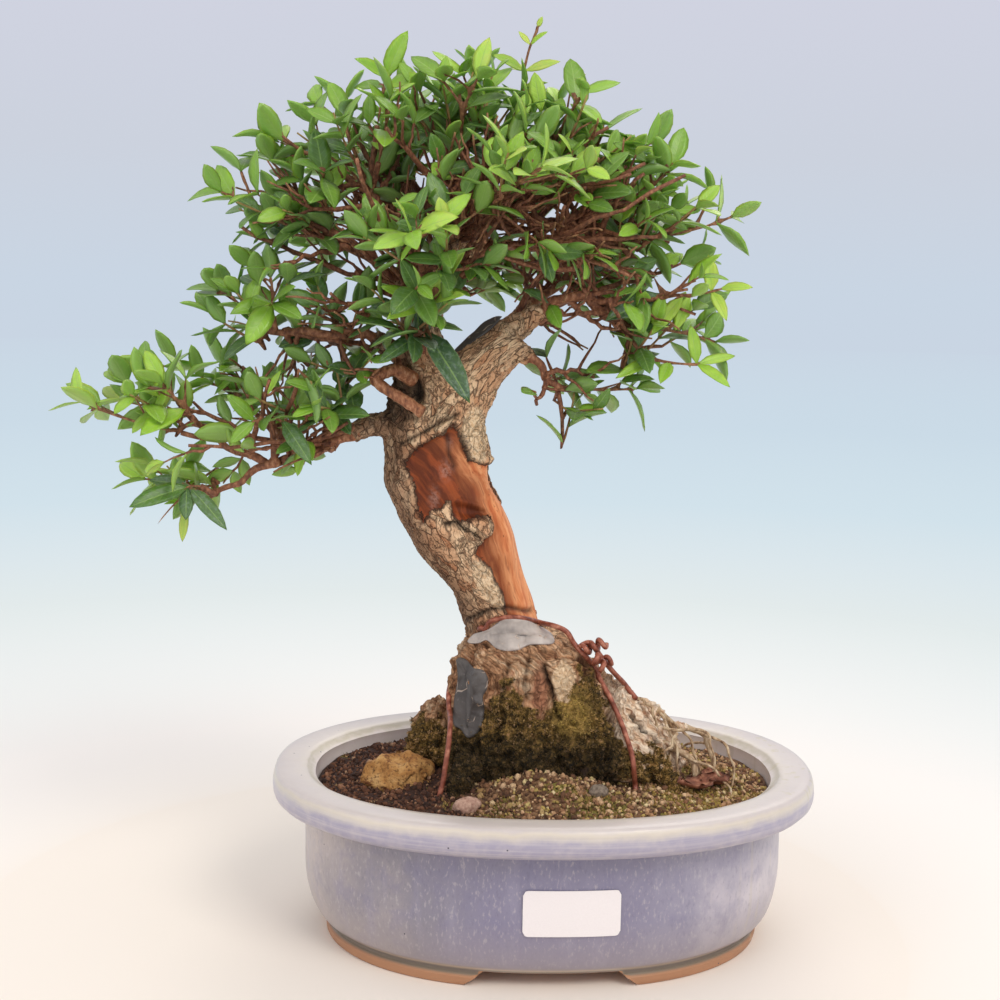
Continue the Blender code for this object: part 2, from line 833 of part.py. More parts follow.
def stump_shape(grow=0.0, rows=STUMP_ROWS):
    rings = []
    for z, left, right, front, back in rows:
        middle = Vector(((left + right) / 2, (front + back) / 2, z))
        ring = []
        for i in range(STUMP_SIDES):
            angle = 2 * math.pi * i / STUMP_SIDES
            flute = 1 + 0.045 * math.sin(7 * angle + 0.03 * z) + 0.03 * math.sin(11 * angle + 2)
            x = ((right - left) / 2 * flute + grow) * signed_power(math.cos(angle), 0.88)
            y = ((back - front) / 2 * flute + grow) * signed_power(math.sin(angle), 0.88)
            ring.append(middle + Vector((x, y, 0)))
        rings.append(ring)
    return loft(rings)


def trunk_shape():
    rings = []
    for z, x, y, half_w, half_d in TRUNK_ROWS:
        ring = []
        for i in range(TRUNK_SIDES):
            angle = 2 * math.pi * i / TRUNK_SIDES
            flute = 1 + 0.035 * math.sin(3 * angle + 0.05 * z)
            flute += 0.025 * math.sin(7 * angle - 0.04 * z)
            across = half_w * flute * math.cos(angle)
            deep = half_d * flute * math.sin(angle)
            ring.append(Vector((x + across, y + deep, z)))
        rings.append(ring)
    return loft(rings)


def bough_point(rows, share):
    """The place and the radius this far along a limb, from 0 to 1."""
    path = smooth_path(rows, 6)
    at = share * (len(path) - 1)
    i = min(int(at), len(path) - 2)
    row = [mix(a, b, at - i) for a, b in zip(path[i], path[i + 1])]
    return Vector(row[:3]), row[3]


def wood_shapes():
    """Everything woody except the twigs that carry the sprays."""
    shapes = [stump_shape(), trunk_shape()]
    shapes += [limb(rows, 1, 10) for rows in LIMBS.values()]
    shapes += [limb(rows, 1, 5) for rows in BOUGHS.values()]
    shapes += [limb(rows, 1, 5) for rows in ROOTS]
    shapes += [lump(centre, half, i) for i, (centre, half) in enumerate(LUMPS)]
    return shapes


# Foliage


def leaf_shape(leaf, grow=0.0, skip_root=False):
    """A pointed blade, arched along its length, with a keel under its midrib."""
    base, heading, up, length, width = leaf
    side = heading.cross(up)
    sections = LARGE_LEAF_SECTIONS if length > LARGE_LEAF else SMALL_LEAF_SECTIONS
    points = []
    start = base + heading * (0.16 * length if skip_root else 0.0)
    points.append(start)
    for along, half, lift in sections:
        middle = base + heading * (along * length) + up * (lift * length)
        edge = half * width + grow
        points.append(middle + side * edge + up * (0.05 * width + grow))
        points.append(middle - side * edge + up * (0.05 * width + grow))
        points.append(middle - up * (LEAF_THICKNESS + grow))
    points.append(base + heading * (length + grow) - up * (0.07 * length))
    faces = [(0, 2, 1), (0, 3, 2), (0, 1, 3)]
    if len(sections) == 2:
        faces += [(1, 2, 5, 4), (2, 3, 6, 5), (3, 1, 4, 6)]
    right, left, keel = range(len(points) - 4, len(points) - 1)
    tip = len(points) - 1
    faces += [(right, left, tip), (left, keel, tip), (keel, right, tip)]
    return points, faces


def leaf_at(rng, node, axis, radial, spread, length):
    """A leaf at a stem's node, leaning outwards by spread degrees and facing up."""
    lean = math.radians(spread)
    heading = (axis * math.cos(lean) + radial * math.sin(lean)).normalized()
    heading = (heading + Vector((0, 0, rng.uniform(-0.22, 0.12)))).normalized()
    up = axis * 0.8 + Vector((0, 0, 0.9)) - radial * 0.2
    up = up - heading * up.dot(heading)
    if up.length < 0.2:
        up = -radial - heading * -radial.dot(heading)
    up.normalize()
    roll = math.radians(rng.uniform(-22, 22))
    up = Quaternion(heading, roll) @ up
    width = length * rng.uniform(*LEAF_WIDTH_SHARE)
    return node, heading, up, length, width


def stem_node(path, share):
    """Place and heading at this share of a stem, kept inside its end."""
    at = share * (len(path) - 1)
    i = min(int(at), len(path) - 2)
    a, b = path[i], path[i + 1]
    heading = (b - a).normalized()
    place = a.lerp(b, at - i)
    if share == 1.0:
        place = place - heading * ROOT_DEPTH
    return place, heading


def bent_path(start, heading, end, count):
    """A stem that leaves along heading and curves to its end."""
    reach = (end - start).length
    control = start + heading * reach * 0.55
    path = []
    for i in range(count + 1):
        t = i / count
        path.append(start * (1 - t) ** 2 + control * (2 * t * (1 - t)) + end * t * t)
    return path


def rootless_tube(path, radii, sides):
    """A stem for tests of clearance: grown by the gap and without its root."""
    begin = path[0].lerp(path[1], 0.4)
    return tube([begin, *path[1:]], [r + GAP for r in radii], sides)


def clear_of(tree, shape):
    points, faces = shape
    return not tree.overlap(BVHTree.FromPolygons(points, faces))


def pad_targets(pad):
    """Where each spray of a pad points: spread over its upper and outer sides."""
    _, middle, half, count, lowest = PADS[pad]
    outward = math.atan2(middle[1] - CROWN_MIDDLE[1], middle[0] - CROWN_MIDDLE[0])
    for k in range(count):
        height = 1 - (1 - lowest) * (k + 0.5) / count
        angle = outward + (count - 1 - k) * GOLDEN_ANGLE
        flat = math.sqrt(1 - height * height)
        direction = Vector((flat * math.cos(angle), flat * math.sin(angle), height))
        yield k, Vector(middle) + Vector([direction[i] * half[i] for i in range(3)])


def draw_shoot(name):
    """The plan of one of the drawn shoots, its leaves already in place."""
    (bough, share), twig_end, stem_points, leaf_rows = DRAWN_SHOOTS[name]
    origin, radius = bough_point({**LIMBS, **BOUGHS}[bough], share)
    twig_end = Vector(twig_end)
    ahead = (Vector(stem_points[0][0]) - twig_end).normalized()
    thick = min(radius * 0.75, TWIG_ROOT_RADIUS)
    radii = [thick, mix(thick, TWIG_END_RADIUS, 0.5), TWIG_END_RADIUS]
    twig = ([origin, twig_end - ahead * TWIG_ELBOW, twig_end], radii)
    stems = []
    for number, points in enumerate(stem_points):
        path = [Vector(p) for p in points]
        if number == 0:
            path.insert(0, twig_end + ahead * GAP)
        thickness = SIDE_STEM_RADIUS if number else SPRAY_STEM_RADIUS
        last = len(path) - 1
        stems.append((path, [mix(*thickness, i / last) for i in range(last + 1)], 4))
    leaves = []
    for number, along, tip, width in leaf_rows:
        path = stems[number][0]
        foot = stem_node(path if number else path[1:], along)[0]
        reach = Vector(tip) - foot
        heading = reach.normalized()
        up = Vector(DRAWN_LEAF_FACING)
        up = (up - heading * up.dot(heading)).normalized()
        leaves.append((foot, heading, up, reach.length, width))
    plan = {"twig": twig, "stems": stems, "roll": 0.0, "sides": [], "leaves": leaves}
    return {**plan, "name": f"shoot_{name}", "seed": 0, "drawn": True}


def plan_twigs():
    """For each spray: its name, the twig that carries it, and its stem with side stems."""
    plans = [draw_shoot(name) for name in DRAWN_SHOOTS]
    tree = tree_of(wood_shapes())
    taken = []
    for plan in plans:
        taken += [rootless_tube(*stem) for stem in plan["stems"]]
        taken.append(rootless_tube(*plan["twig"], 3))
        taken += [leaf_shape(leaf, grow=LEAF_CLEARANCE) for leaf in plan["leaves"]]
    for index, pad in enumerate(PADS):
        rows = BOUGHS[PADS[pad][0]]
        count = PADS[pad][3]
        for k, target in pad_targets(pad):
            rng = random.Random(SEED * 1000 + index * 20 + k)
            origin, radius = bough_point(rows, 1 - 0.2 * k / count)
            for attempt in range(SPRAY_TRIES):
                stray = STRAY + STRAY_STEP * attempt
                plan = draw_spray(rng, origin, radius, target, stray)
                stems = [rootless_tube(*stem) for stem in plan["stems"]]
                outer = [*stems, rootless_tube(*plan["twig"], 3)]
                others = tree_of(taken) if taken else tree
                if all(clear_of(tree, shape) for shape in stems) and all(
                    clear_of(others, shape) for shape in outer
                ):
                    break
            else:
                continue
            plan["name"] = f"spray_{pad}_{k + 1}"
            plan["seed"] = SEED * 5000 + index * 50 + k
            taken += outer
            plans.append(plan)
    return plans


def draw_spray(rng, origin, radius, target, stray):
    """One try at a twig and the stems beyond it."""
    target = target + Vector([rng.uniform(-stray, stray) for _ in range(3)])
    reach = target - origin
    base = origin + reach * rng.uniform(*TWIG_REACH)
    base += Vector([rng.uniform(-2, 2) for _ in range(3)])
    start_heading = (reach.normalized() + Vector((0, 0, -0.15))).normalized()
    twig_path = bent_path(origin, start_heading, base, 2)
    heading = (twig_path[-1] - twig_path[-2]).normalized()
    thick = max(TWIG_END_RADIUS + GAP, min(radius * 0.75, TWIG_ROOT_RADIUS))
    twig = (twig_path, [mix(thick, TWIG_END_RADIUS, i / 2) for i in range(3)])
    start = base + heading * GAP
    main = bent_path(start, heading, target, 3)
    stems = [(main, [mix(*SPRAY_STEM_RADIUS, i / 3) for i in range(4)], 4)]
    roll = rng.uniform(0, math.pi)
    length = (target - start).length
    sides = []
    for number, share in enumerate(SIDE_STEM_SHARES):
        node, axis = stem_node(main, share)
        radial = axis.orthogonal().normalized()
        radial = Quaternion(axis, roll + number * math.pi / 2) @ radial
        if radial.z < -0.3:
            radial = -radial
        out = (axis * 0.75 + radial * 0.8 + Vector((0, 0, 0.1))).normalized()
        end = node + out * rng.uniform(*SIDE_STEM_REACH) * max(length, SHORTEST_REACH)
        path = bent_path(node, (radial + axis * 0.3).normalized(), end, 1)
        stems.append((path, list(SIDE_STEM_RADIUS), 3))
        sides.append((node, axis, radial))
    plan = {"twig": twig, "stems": stems, "roll": roll, "sides": sides, "leaves": []}
    return {**plan, "drawn": False}


def wanted_leaves(plan, rng):
    """The leaf places of a spray in order, each with its node, axis, radial and kind."""
    wanted = []
    main = plan["stems"][0][0]
    tip, tip_axis = stem_node(main, 1.0)
    across = tip_axis.orthogonal().normalized()
    across = Quaternion(tip_axis, plan["roll"] + 0.4) @ across
    for sign in (1, -1):
        wanted.append((tip, tip_axis, across * sign, "tip"))
    node, axis = stem_node(main, 0.8)
    radial = Quaternion(axis, math.pi / 2) @ (across - axis * across.dot(axis)).normalized()
    for sign in (1, -1):
        wanted.append((node, axis, radial * sign, "pair"))
    for path, _, _ in plan["stems"][1:]:
        end, end_axis = stem_node(path, 1.0)
        cross = end_axis.orthogonal().normalized()
        cross = Quaternion(end_axis, rng.uniform(0, math.pi)) @ cross
        for sign in (1, -1):
            wanted.append((end, end_axis, cross * sign, "side"))
    if plan["seed"] % 2:
        node, axis, radial = plan["sides"][rng.randrange(2)]
        wanted.append((node, axis, -radial, "outer"))
    return wanted


def grow_leaves(plans):
    """Puts leaves on every spray, in rounds, each clear of all that stands already."""
    wood = wood_shapes()
    wood += [tube(*plan["twig"], 3) for plan in plans]
    stems = {}
    for plan in plans:
        stems[plan["name"]] = [tube(*stem) for stem in plan["stems"]]
    for plan in plans:
        if plan["drawn"]:
            continue
        rng = random.Random(plan["seed"])
        others = list(wood)
        for other in plans:
            if other is not plan:
                others += stems[other["name"]]
                others += [leaf_shape(leaf) for leaf in other["leaves"]]
        tree = tree_of(others)
        for node, axis, radial, kind in wanted_leaves(plan, rng):
            length = rng.uniform(*LEAF_LENGTHS[kind])
            own = [leaf_shape(leaf, skip_root=True) for leaf in plan["leaves"]]
            own_tree = tree_of(own) if own else None
            for attempt in range(LEAF_TRIES):
                turn = math.radians(rng.uniform(-1, 1) * min(75, 6 + attempt * 7))
                turned = Quaternion(axis, turn) @ radial
                size = length * (1 - 0.025 * attempt)
                spread = LEAF_SPREADS[kind] + rng.uniform(-10, 10)
                leaf = leaf_at(rng, node, axis, turned, spread, size)
                if not clear_of(tree, leaf_shape(leaf, grow=LEAF_CLEARANCE)):
                    continue
                if own_tree and not clear_of(own_tree, leaf_shape(leaf, skip_root=True)):
                    continue
                plan["leaves"].append(leaf)
                break


def build_sprays(plans):
    for plan in plans:
        shapes = [tube(*stem) for stem in plan["stems"]]
        shapes += [leaf_shape(leaf) for leaf in plan["leaves"]]
        fuse(plan["name"], shapes, "leaf")


def build_trunk(plans):
    shapes = wood_shapes()
    shapes += [tube(*plan["twig"], 3) for plan in plans]
    return fuse("trunk", shapes, "bark")


# Wire, paste, soil and what lies on it


def mesh_tree(objects):
    """A search tree over finished objects, in millimetres."""
    shapes = []
    for obj in objects:
        points = [v.co / MM for v in obj.data.vertices]
        shapes.append((points, [tuple(p.vertices) for p in obj.data.polygons]))
    return tree_of(shapes)


def push_out(point, tree, clearance):
    """How far this point must move to be clear of the wood by the clearance."""
    place, normal, _, distance = tree.find_nearest(point)
    signed = distance if (point - place).dot(normal) > 0 else -distance
    return normal * max(0.0, clearance - signed)


def laid_on(path, tree, clearance, above):
    """Moves a route's points over the soil out to just clear of the wood they lie on."""
    path = [Vector(p) for p in path]
    shown = [i for i, point in enumerate(path) if point.z > above]
    for _ in range(12):
        smoothed = list(path)
        for i in shown:
            if 0 < i < len(path) - 1:
                smoothed[i] = (path[i - 1] + path[i] * 4 + path[i + 1]) / 6
        path = smoothed
        for _ in range(3):
            for i in shown:
                path[i] = path[i] + push_out(path[i], tree, clearance)
                if i > 0:
                    push = push_out((path[i - 1] + path[i]) / 2, tree, clearance)
                    path[i] = path[i] + push
                    if i - 1 in shown:
                        path[i - 1] = path[i - 1] + push
    return path


def thick_wire(path, grow=GAP):
    return tube(path, [WIRE_RADIUS + grow] * len(path), WIRE_SIDES)


def wire_routes(tree):
    clearance = WIRE_RADIUS + 0.7
    routes = []
    for route in (TIE_WIRE, TWIST_WIRE):
        shown = [i for i, point in enumerate(route) if point[2] > SOIL_EDGE]
        first, last = shown[0], shown[-1]
        path = [*route[:first], *smooth_path(route[first : last + 1], 2), *route[last + 1 :]]
        routes.append(laid_on(path, tree, clearance, SOIL_EDGE))
    routes[1] += pigtail(routes[1][-1], tree)
    return routes


def pigtail(start, tree):
    """The twisted end of the wire, standing out from the shoulder of the stump."""
    _, normal, _, _ = tree.find_nearest(start)
    axis = (normal * 0.35 + Vector(PIGTAIL_WAY)).normalized()
    side = axis.cross(Vector((0, 0, 1))).normalized()
    other = axis.cross(side)
    path = []
    for i in range(1, PIGTAIL_STEPS + 1):
        share = i / PIGTAIL_STEPS
        angle = 2 * math.pi * PIGTAIL_TURNS * share
        round_axis = side * math.sin(angle) + other * (1 - math.cos(angle))
        rise = axis * (1.5 + PIGTAIL_PITCH * PIGTAIL_TURNS * share)
        path.append(start + rise + round_axis * PIGTAIL_RADIUS)
    return path


def build_wires(tie, second):
    for name, path in (("tie_wire", tie), ("twist_wire", second)):
        make_object(name, tube(path, [WIRE_RADIUS] * len(path), WIRE_SIDES), "wire")


def build_paste(name, tree):
    """A thin skin of cut paste: the outline filled, pressed onto the wood and just clear of it."""
    facing, outline = PASTES[name]
    facing = Vector(facing).normalized()
    ring = [Vector(p) for p in outline]
    centre = sum(ring, Vector()) / len(ring)
    flat = [centre.lerp(p, share) for share in PASTE_RINGS for p in ring] + [centre]
    hits = []
    for point in flat:
        hit = tree.ray_cast(point + facing * PASTE_CAST, -facing)[0]
        hits.append(hit if hit else point)
    count = len(ring)
    middle = len(flat) - 1
    faces = []
    for row in range(len(PASTE_RINGS) - 1):
        for i in range(count):
            a, b = row * count + i, row * count + (i + 1) % count
            faces += [(a, b, b + count), (a, b + count, a + count)]
    last = (len(PASTE_RINGS) - 1) * count
    faces += [(last + i, last + (i + 1) % count, middle) for i in range(count)]
    lifts = [PASTE_SEAT] * len(flat)
    for _ in range(60):
        skin = [hit + facing * (lift - PASTE_STEP) for hit, lift in zip(hits, lifts)]
        touching = tree.overlap(BVHTree.FromPolygons(skin, faces))
        if not touching:
            break
        for i in {i for _, face in touching for i in faces[face]}:
            lifts[i] += PASTE_STEP
    under = [hit + facing * lift for hit, lift in zip(hits, lifts)]
    over = []
    for i, point in enumerate(under):
        over.append(point + facing * PASTE_THICKNESS * (0.5 if i < count else 1.0))
    below = len(over)
    closed = list(faces)
    closed += [tuple(below + i for i in reversed(face)) for face in faces]
    for i in range(count):
        j = (i + 1) % count
        closed += [(j, i, below + i), (j, below + i, below + j)]
    return make_object(name, (over + under, closed), "paste")


def soil_height(x, y):
    across = (x - MOUND_CENTRE[0]) / MOUND_SPREAD[0]
    deep = (y - MOUND_CENTRE[1]) / MOUND_SPREAD[1]
    ripple = 0.5 * math.sin(0.21 * x + 1) * math.sin(0.26 * y)
    return SOIL_EDGE + MOUND_HEIGHT * math.exp(-across * across - deep * deep) + ripple


def soil_shape():
    rings = []
    for z in reversed(INNER_LEVELS):
        half = [h - GAP for h in inner_half(z)]
        rings.append(oval(half[0], half[1], z + (GAP if z == FLOOR_TOP else 0)))
    edge = [h - GAP for h in inner_half(SOIL_EDGE - 0.8)]
    rings.append(oval(edge[0], edge[1], SOIL_EDGE - 0.8))
    for share in (0.96, 0.78, 0.5):
        ring = oval(edge[0] * share, edge[1] * share, 0.0)
        rings.append([Vector((p.x, p.y, soil_height(p.x, p.y))) for p in ring])
    return loft(rings)


def build_soil(wires):
    soil = make_object("soil", soil_shape(), "soil")
    buried = [stump_shape(grow=GAP * 1.6, rows=STUMP_ROWS[:4])]
    buried[0] = pocket(buried[0], STUMP_ROWS[0][0])
    buried += [limb(rows, 1, 5, grow=GAP) for rows in ROOTS]
    buried += [lump(centre, half, i, grow=GAP) for i, (centre, half) in enumerate(LUMPS)]
    buried += [thick_wire(path) for path in wires]
    for centre, half, seed in STONES.values():
        buried.append(lump(centre, half, seed, grow=GAP, roughness=0.16))
    for x in (-DRAIN_X, DRAIN_X):
        top = FLOOR_TOP + GAP + SCREEN_THICKNESS + GAP
        buried.append(upright_bar(x, 0, FLOOR_TOP - 1, top, SCREEN_RADIUS + GAP, 14))
    combine(soil, buried, "DIFFERENCE", "EXACT")
    keep_main_body(soil)


def pocket(shape, low):
    """The stump's own outline with its underside lowered by the gap."""
    points, faces = shape
    return [p - Vector((0, 0, GAP)) if abs(p.z - low) < 0.01 else p for p in points], faces


def build_stones():
    for name, (centre, half, seed) in STONES.items():
        finish = "stone" if name.startswith("stone") else "pebble"
        make_object(name, lump(centre, half, seed, roughness=0.16), finish, smooth=False)


def build_fallen_leaf(name):
    """A dry leaf curled along its length, lying on the soil."""
    (x, y), turn, length, curl = FALLEN_LEAVES[name]
    stations = 5
    bend = math.radians(curl)
    radius = length / bend
    spin = Matrix.Rotation(math.radians(turn), 3, "Z")
    rings = []
    for i in range(stations + 1):
        share = i / stations
        angle = (share - 0.5) * bend
        middle = Vector((radius * math.sin(angle), 0, radius * (1 - math.cos(angle))))
        normal = Vector((-math.sin(angle), 0, math.cos(angle)))
        half = 0.6 + 4.4 * math.sin(math.pi * min(1.0, share * 0.96 + 0.02)) ** 0.8
        side = Vector((0, 1, 0))
        ring = [
            middle + side * half + normal * 1.6,
            middle + side * half + normal * 0.8,
            middle,
            middle - side * half + normal * 0.8,
            middle - side * half + normal * 1.6,
            middle + normal * 0.8,
        ]
        rings.append(ring)
    points, faces = loft(rings)
    points = [spin @ p + Vector((x, y, 0)) for p in points]
    lift = max(soil_height(p.x, p.y) - p.z for p in points) + 2 * GAP
    make_object(name, ([p + Vector((0, 0, lift)) for p in points], faces), "fallen_leaf")


def centre_on_origin():
    """Moves every mesh sideways so that the whole stands over the origin."""
    objects = [obj for obj in bpy.data.objects if obj.type == "MESH"]
    places = [v.co for obj in objects for v in obj.data.vertices]
    middle_x = (min(p.x for p in places) + max(p.x for p in places)) / 2
    middle_y = (min(p.y for p in places) + max(p.y for p in places)) / 2
    for obj in objects:
        obj.data.transform(Matrix.Translation((-middle_x, -middle_y, 0)))


def main():
    clear_scene()
    build_pot()
    plans = plan_twigs()
    grow_leaves(plans)
    trunk = build_trunk(plans)
    wood = mesh_tree([trunk])
    pastes = [build_paste(name, wood) for name in PASTES]
    wires = wire_routes(mesh_tree([trunk, *pastes]))
    build_sprays(plans)
    build_wires(*wires)
    build_screens(wires)
    build_soil(wires)
    build_stones()
    for name in FALLEN_LEAVES:
        build_fallen_leaf(name)
    build_label()
    centre_on_origin()


main()
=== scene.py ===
"""Common myrtle bonsai in an oval glazed pot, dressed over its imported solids.

Lengths are in millimetres from the middle of the pot and the table top, and `placed` turns them
into the frame's metres.
"""

import itertools
import json
import math
import random

import bmesh
import bpy
import numpy as np
from bpy.props import FloatProperty, FloatVectorProperty, IntProperty, PointerProperty
from bpy.types import Operator, Panel, PropertyGroup
from mathutils import Matrix, Quaternion, Vector, noise
from mathutils.bvhtree import BVHTree

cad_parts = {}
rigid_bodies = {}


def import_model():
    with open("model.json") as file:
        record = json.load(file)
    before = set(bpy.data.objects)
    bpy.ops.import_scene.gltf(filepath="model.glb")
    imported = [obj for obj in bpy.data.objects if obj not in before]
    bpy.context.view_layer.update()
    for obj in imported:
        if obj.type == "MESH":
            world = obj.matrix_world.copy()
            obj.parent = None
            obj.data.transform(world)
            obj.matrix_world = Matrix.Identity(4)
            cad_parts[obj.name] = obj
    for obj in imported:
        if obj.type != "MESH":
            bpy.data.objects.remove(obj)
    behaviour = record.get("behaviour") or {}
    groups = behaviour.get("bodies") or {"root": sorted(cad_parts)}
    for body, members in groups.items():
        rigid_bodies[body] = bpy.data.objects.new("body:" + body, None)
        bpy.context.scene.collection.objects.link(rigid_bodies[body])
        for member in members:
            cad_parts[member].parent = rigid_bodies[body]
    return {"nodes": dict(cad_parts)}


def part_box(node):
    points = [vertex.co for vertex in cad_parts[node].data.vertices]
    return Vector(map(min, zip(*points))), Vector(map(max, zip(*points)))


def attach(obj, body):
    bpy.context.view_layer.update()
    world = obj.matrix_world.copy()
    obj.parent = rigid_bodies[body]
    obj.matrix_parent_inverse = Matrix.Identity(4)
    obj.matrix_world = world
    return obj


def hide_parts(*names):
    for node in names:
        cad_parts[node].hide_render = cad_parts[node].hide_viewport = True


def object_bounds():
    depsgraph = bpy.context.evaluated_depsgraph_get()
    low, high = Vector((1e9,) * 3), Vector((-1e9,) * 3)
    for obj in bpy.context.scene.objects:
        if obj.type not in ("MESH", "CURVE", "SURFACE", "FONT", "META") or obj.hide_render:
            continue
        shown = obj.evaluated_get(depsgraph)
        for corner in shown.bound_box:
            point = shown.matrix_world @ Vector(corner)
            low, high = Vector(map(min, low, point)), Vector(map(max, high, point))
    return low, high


bl_info = {
    "name": "Myrtle bonsai",
    "version": (1, 0, 0),
    "blender": (4, 5, 0),
    "location": "View3D > Sidebar > Bonsai",
    "description": "Bark, foliage, glaze and moss for a myrtle bonsai and its pot",
    "category": "Object",
}

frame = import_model()
CAD_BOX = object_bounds()
POT_LOW, POT_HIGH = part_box("pot")
SHIFT = Vector(((POT_LOW[0] + POT_HIGH[0]) / 2, (POT_LOW[1] + POT_HIGH[1]) / 2, 0.0))
EYE = (-47.2, -664.9, 271.4)
MM = 0.001
FLOOR_REACH = 7000
GAP = 0.3

# Pot
OVAL_POWER = 2.2
POT_HEIGHT = 70.0
RIM_HALF = (115.0, 90.0)
BODY_HALF = (101.5, 77.0)
FOOT_HALF = (92.0, 73.0)
BODY_ROUNDING = 24.0
FOOT_HEIGHT = 6.5
FOOT_WIDTH = 12.0
FLOOR_TOP = 13.0
INNER_TOP_HALF = (98.0, 73.0)
INNER_FLOOR_HALF = (88.0, 64.0)
NOTCH_HALF_WIDTHS = (36.0, 26.5)
DRAIN_X = 45.0
DRAIN_RADIUS = 7.0
# How far the rim stands out from the body, its height, and the glaze band there
RIM_SECTION = (
    (0.0, 52.5, 0.50), (0.0, 54.6, 0.53), (0.06, 55.2, 0.56), (0.3, 55.7, 0.58), (0.62, 56.8, 0.61),
    (0.84, 58.2, 0.63), (0.95, 59.8, 0.655), (0.99, 61.6, 0.68), (1.0, 63.6, 0.70), (0.99, 65.6, 0.725),
    (0.968, 67.3, 0.75), (0.935, 68.6, 0.77), (0.885, 69.5, 0.79), (0.8, 69.9, 0.81), (0.6, 70.0, 0.83),
    (0.35, 69.9, 0.85), (0.1, 69.8, 0.87),
)

# Soil
SOIL_EDGE = 61.0
MOUND_HEIGHT = 12.5
MOUND_CENTRE = (5.0, -2.0)
MOUND_SPREAD = (58.0, 40.0)
MOSS_PATCHES = (((62, -34), 26), ((20, -50), 20), ((70, 8), 20), ((84, -22), 15), ((-20, -52), 12))
# The ring of the soil where its top begins
SOIL_TOP_RING = 5

# Paper label
LABEL_CENTRE = (7.0, 32.5)
LABEL_SIZE = (38.0, 18.5)
LABEL_CORNER = 2.0
LABEL_THICKNESS = 0.3

# Old stump: height, then how far it reaches to the left, right, front and back
STUMP_ROWS = (
    (50.0, -34.0, 46.0, -20.0, 28.0), (62.0, -38.0, 55.0, -27.0, 33.0), (72.0, -40.0, 57.0, -29.0, 34.0),
    (82.0, -40.0, 53.0, -28.0, 33.0), (92.0, -39.0, 44.0, -26.0, 31.0), (102.0, -39.0, 34.0, -25.0, 29.0),
    (111.0, -38.5, 22.0, -24.0, 27.0), (118.5, -36.0, 14.0, -21.5, 24.0), (126.0, -31.0, 8.0, -12.0, 21.0),
)
# Trunk: height, middle along x and y, half width and half depth
TRUNK_ROWS = (
    (108.0, -10.0, 6.0, 19.0, 16.0), (120.0, -15.0, 6.0, 17.5, 15.5), (130.0, -18.5, 5.5, 16.5, 15.0),
    (140.0, -22.0, 4.0, 17.0, 15.5), (150.0, -27.5, 2.0, 18.5, 16.0), (160.0, -33.5, 0.0, 21.5, 18.0),
    (170.0, -37.0, -0.5, 23.0, 19.5), (180.0, -41.0, -1.0, 23.0, 20.0), (190.0, -46.0, -1.0, 22.0, 19.5),
    (200.0, -46.0, -1.0, 21.5, 19.0), (211.0, -47.5, -1.0, 21.0, 18.5), (221.0, -47.0, -0.5, 20.0, 17.5),
    (231.0, -48.5, 0.0, 16.5, 15.0), (239.0, -51.0, 0.5, 11.5, 11.5),
)
# Limbs, boughs and roots: points along the middle, each with its radius there
LIMBS = {
    "upright": ((-50, 2, 224, 13.5), (-53, 2, 243, 10.0), (-56, 3, 262, 7.2), (-57, 4, 283, 5.2)),
    "right": ((-44, -2, 212, 15.0), (-34, -2, 233, 12.6), (-23, -2, 245, 10.4), (-15, -2, 251.5, 9.0)),
}
BOUGHS = {
    "low_left": (
        (-58, -2, 213, 7.0), (-73, -5, 214, 4.6), (-86, -7, 208, 4.0), (-102, -8, 201, 3.6),
        (-118, -6, 198, 3.2), (-134, -3, 205, 2.4), (-147, -2, 214, 2.0),
    ),
    "low_left_tail": ((-112, -7, 199, 3.0), (-125, -9, 192, 2.4), (-137, -10, 185, 2.0)),
    "low_left_fork": ((-100, -8, 202, 3.0), (-110, 2, 205, 2.6), (-116, 9, 211, 2.2)),
    "middle_left": ((-56, 0, 238, 5.0), (-76, -6, 250, 3.8), (-98, -8, 251, 3.2), (-116, -6, 252, 2.6)),
    "upper_left": ((-56, 4, 268, 4.6), (-74, 2, 280, 3.6), (-92, -2, 291, 2.8)),
    "top_left": ((-57, 4, 276, 4.8), (-66, 4, 294, 3.8), (-76, 2, 311, 2.8)),
    "top": ((-54, 3, 262, 6.2), (-46, 2, 280, 5.2), (-40, 1, 300, 4.4), (-37, 0, 322, 3.2)),
    "top_right": ((-45, 2, 284, 4.6), (-28, 5, 297, 3.9), (-8, 6, 311, 2.8)),
    "right": ((-41, 3, 286, 4.4), (-14, -2, 288, 3.6), (10, -4, 287, 3.1), (26, -3, 290, 2.6)),
    "right_low": (
        (-18, -2, 252, 5.6), (-6, -4, 261, 4.2), (8, -6, 268, 3.6), (22, -6, 261, 3.0), (32, -5, 252, 2.5),
    ),
    "droop": ((-16, -6, 247, 4.2), (-5, -9, 238, 3.0), (2, -10, 230, 2.4)),
    "front": ((-57, -2, 250, 4.2), (-57, -18, 264, 3.4), (-53, -32, 277, 2.7)),
    "front_top": ((-44, 0, 288, 4.2), (-36, -20, 298, 3.2), (-30, -34, 306, 2.6)),
    "back": ((-53, 6, 252, 5.0), (-46, 26, 266, 3.8), (-40, 40, 276, 3.0)),
    "back_top": ((-43, 5, 290, 4.2), (-52, 24, 304, 3.2), (-58, 36, 312, 2.6)),
    "back_right": ((-18, 2, 254, 4.8), (-2, 22, 268, 3.6), (10, 34, 276, 2.8)),
    "cut_stub": (
        (-57, -9, 233, 3.4), (-65, -15, 237, 2.7), (-72, -19, 233, 2.4), (-63, -23, 227, 2.3),
        (-53, -27, 221, 2.4),
    ),
}
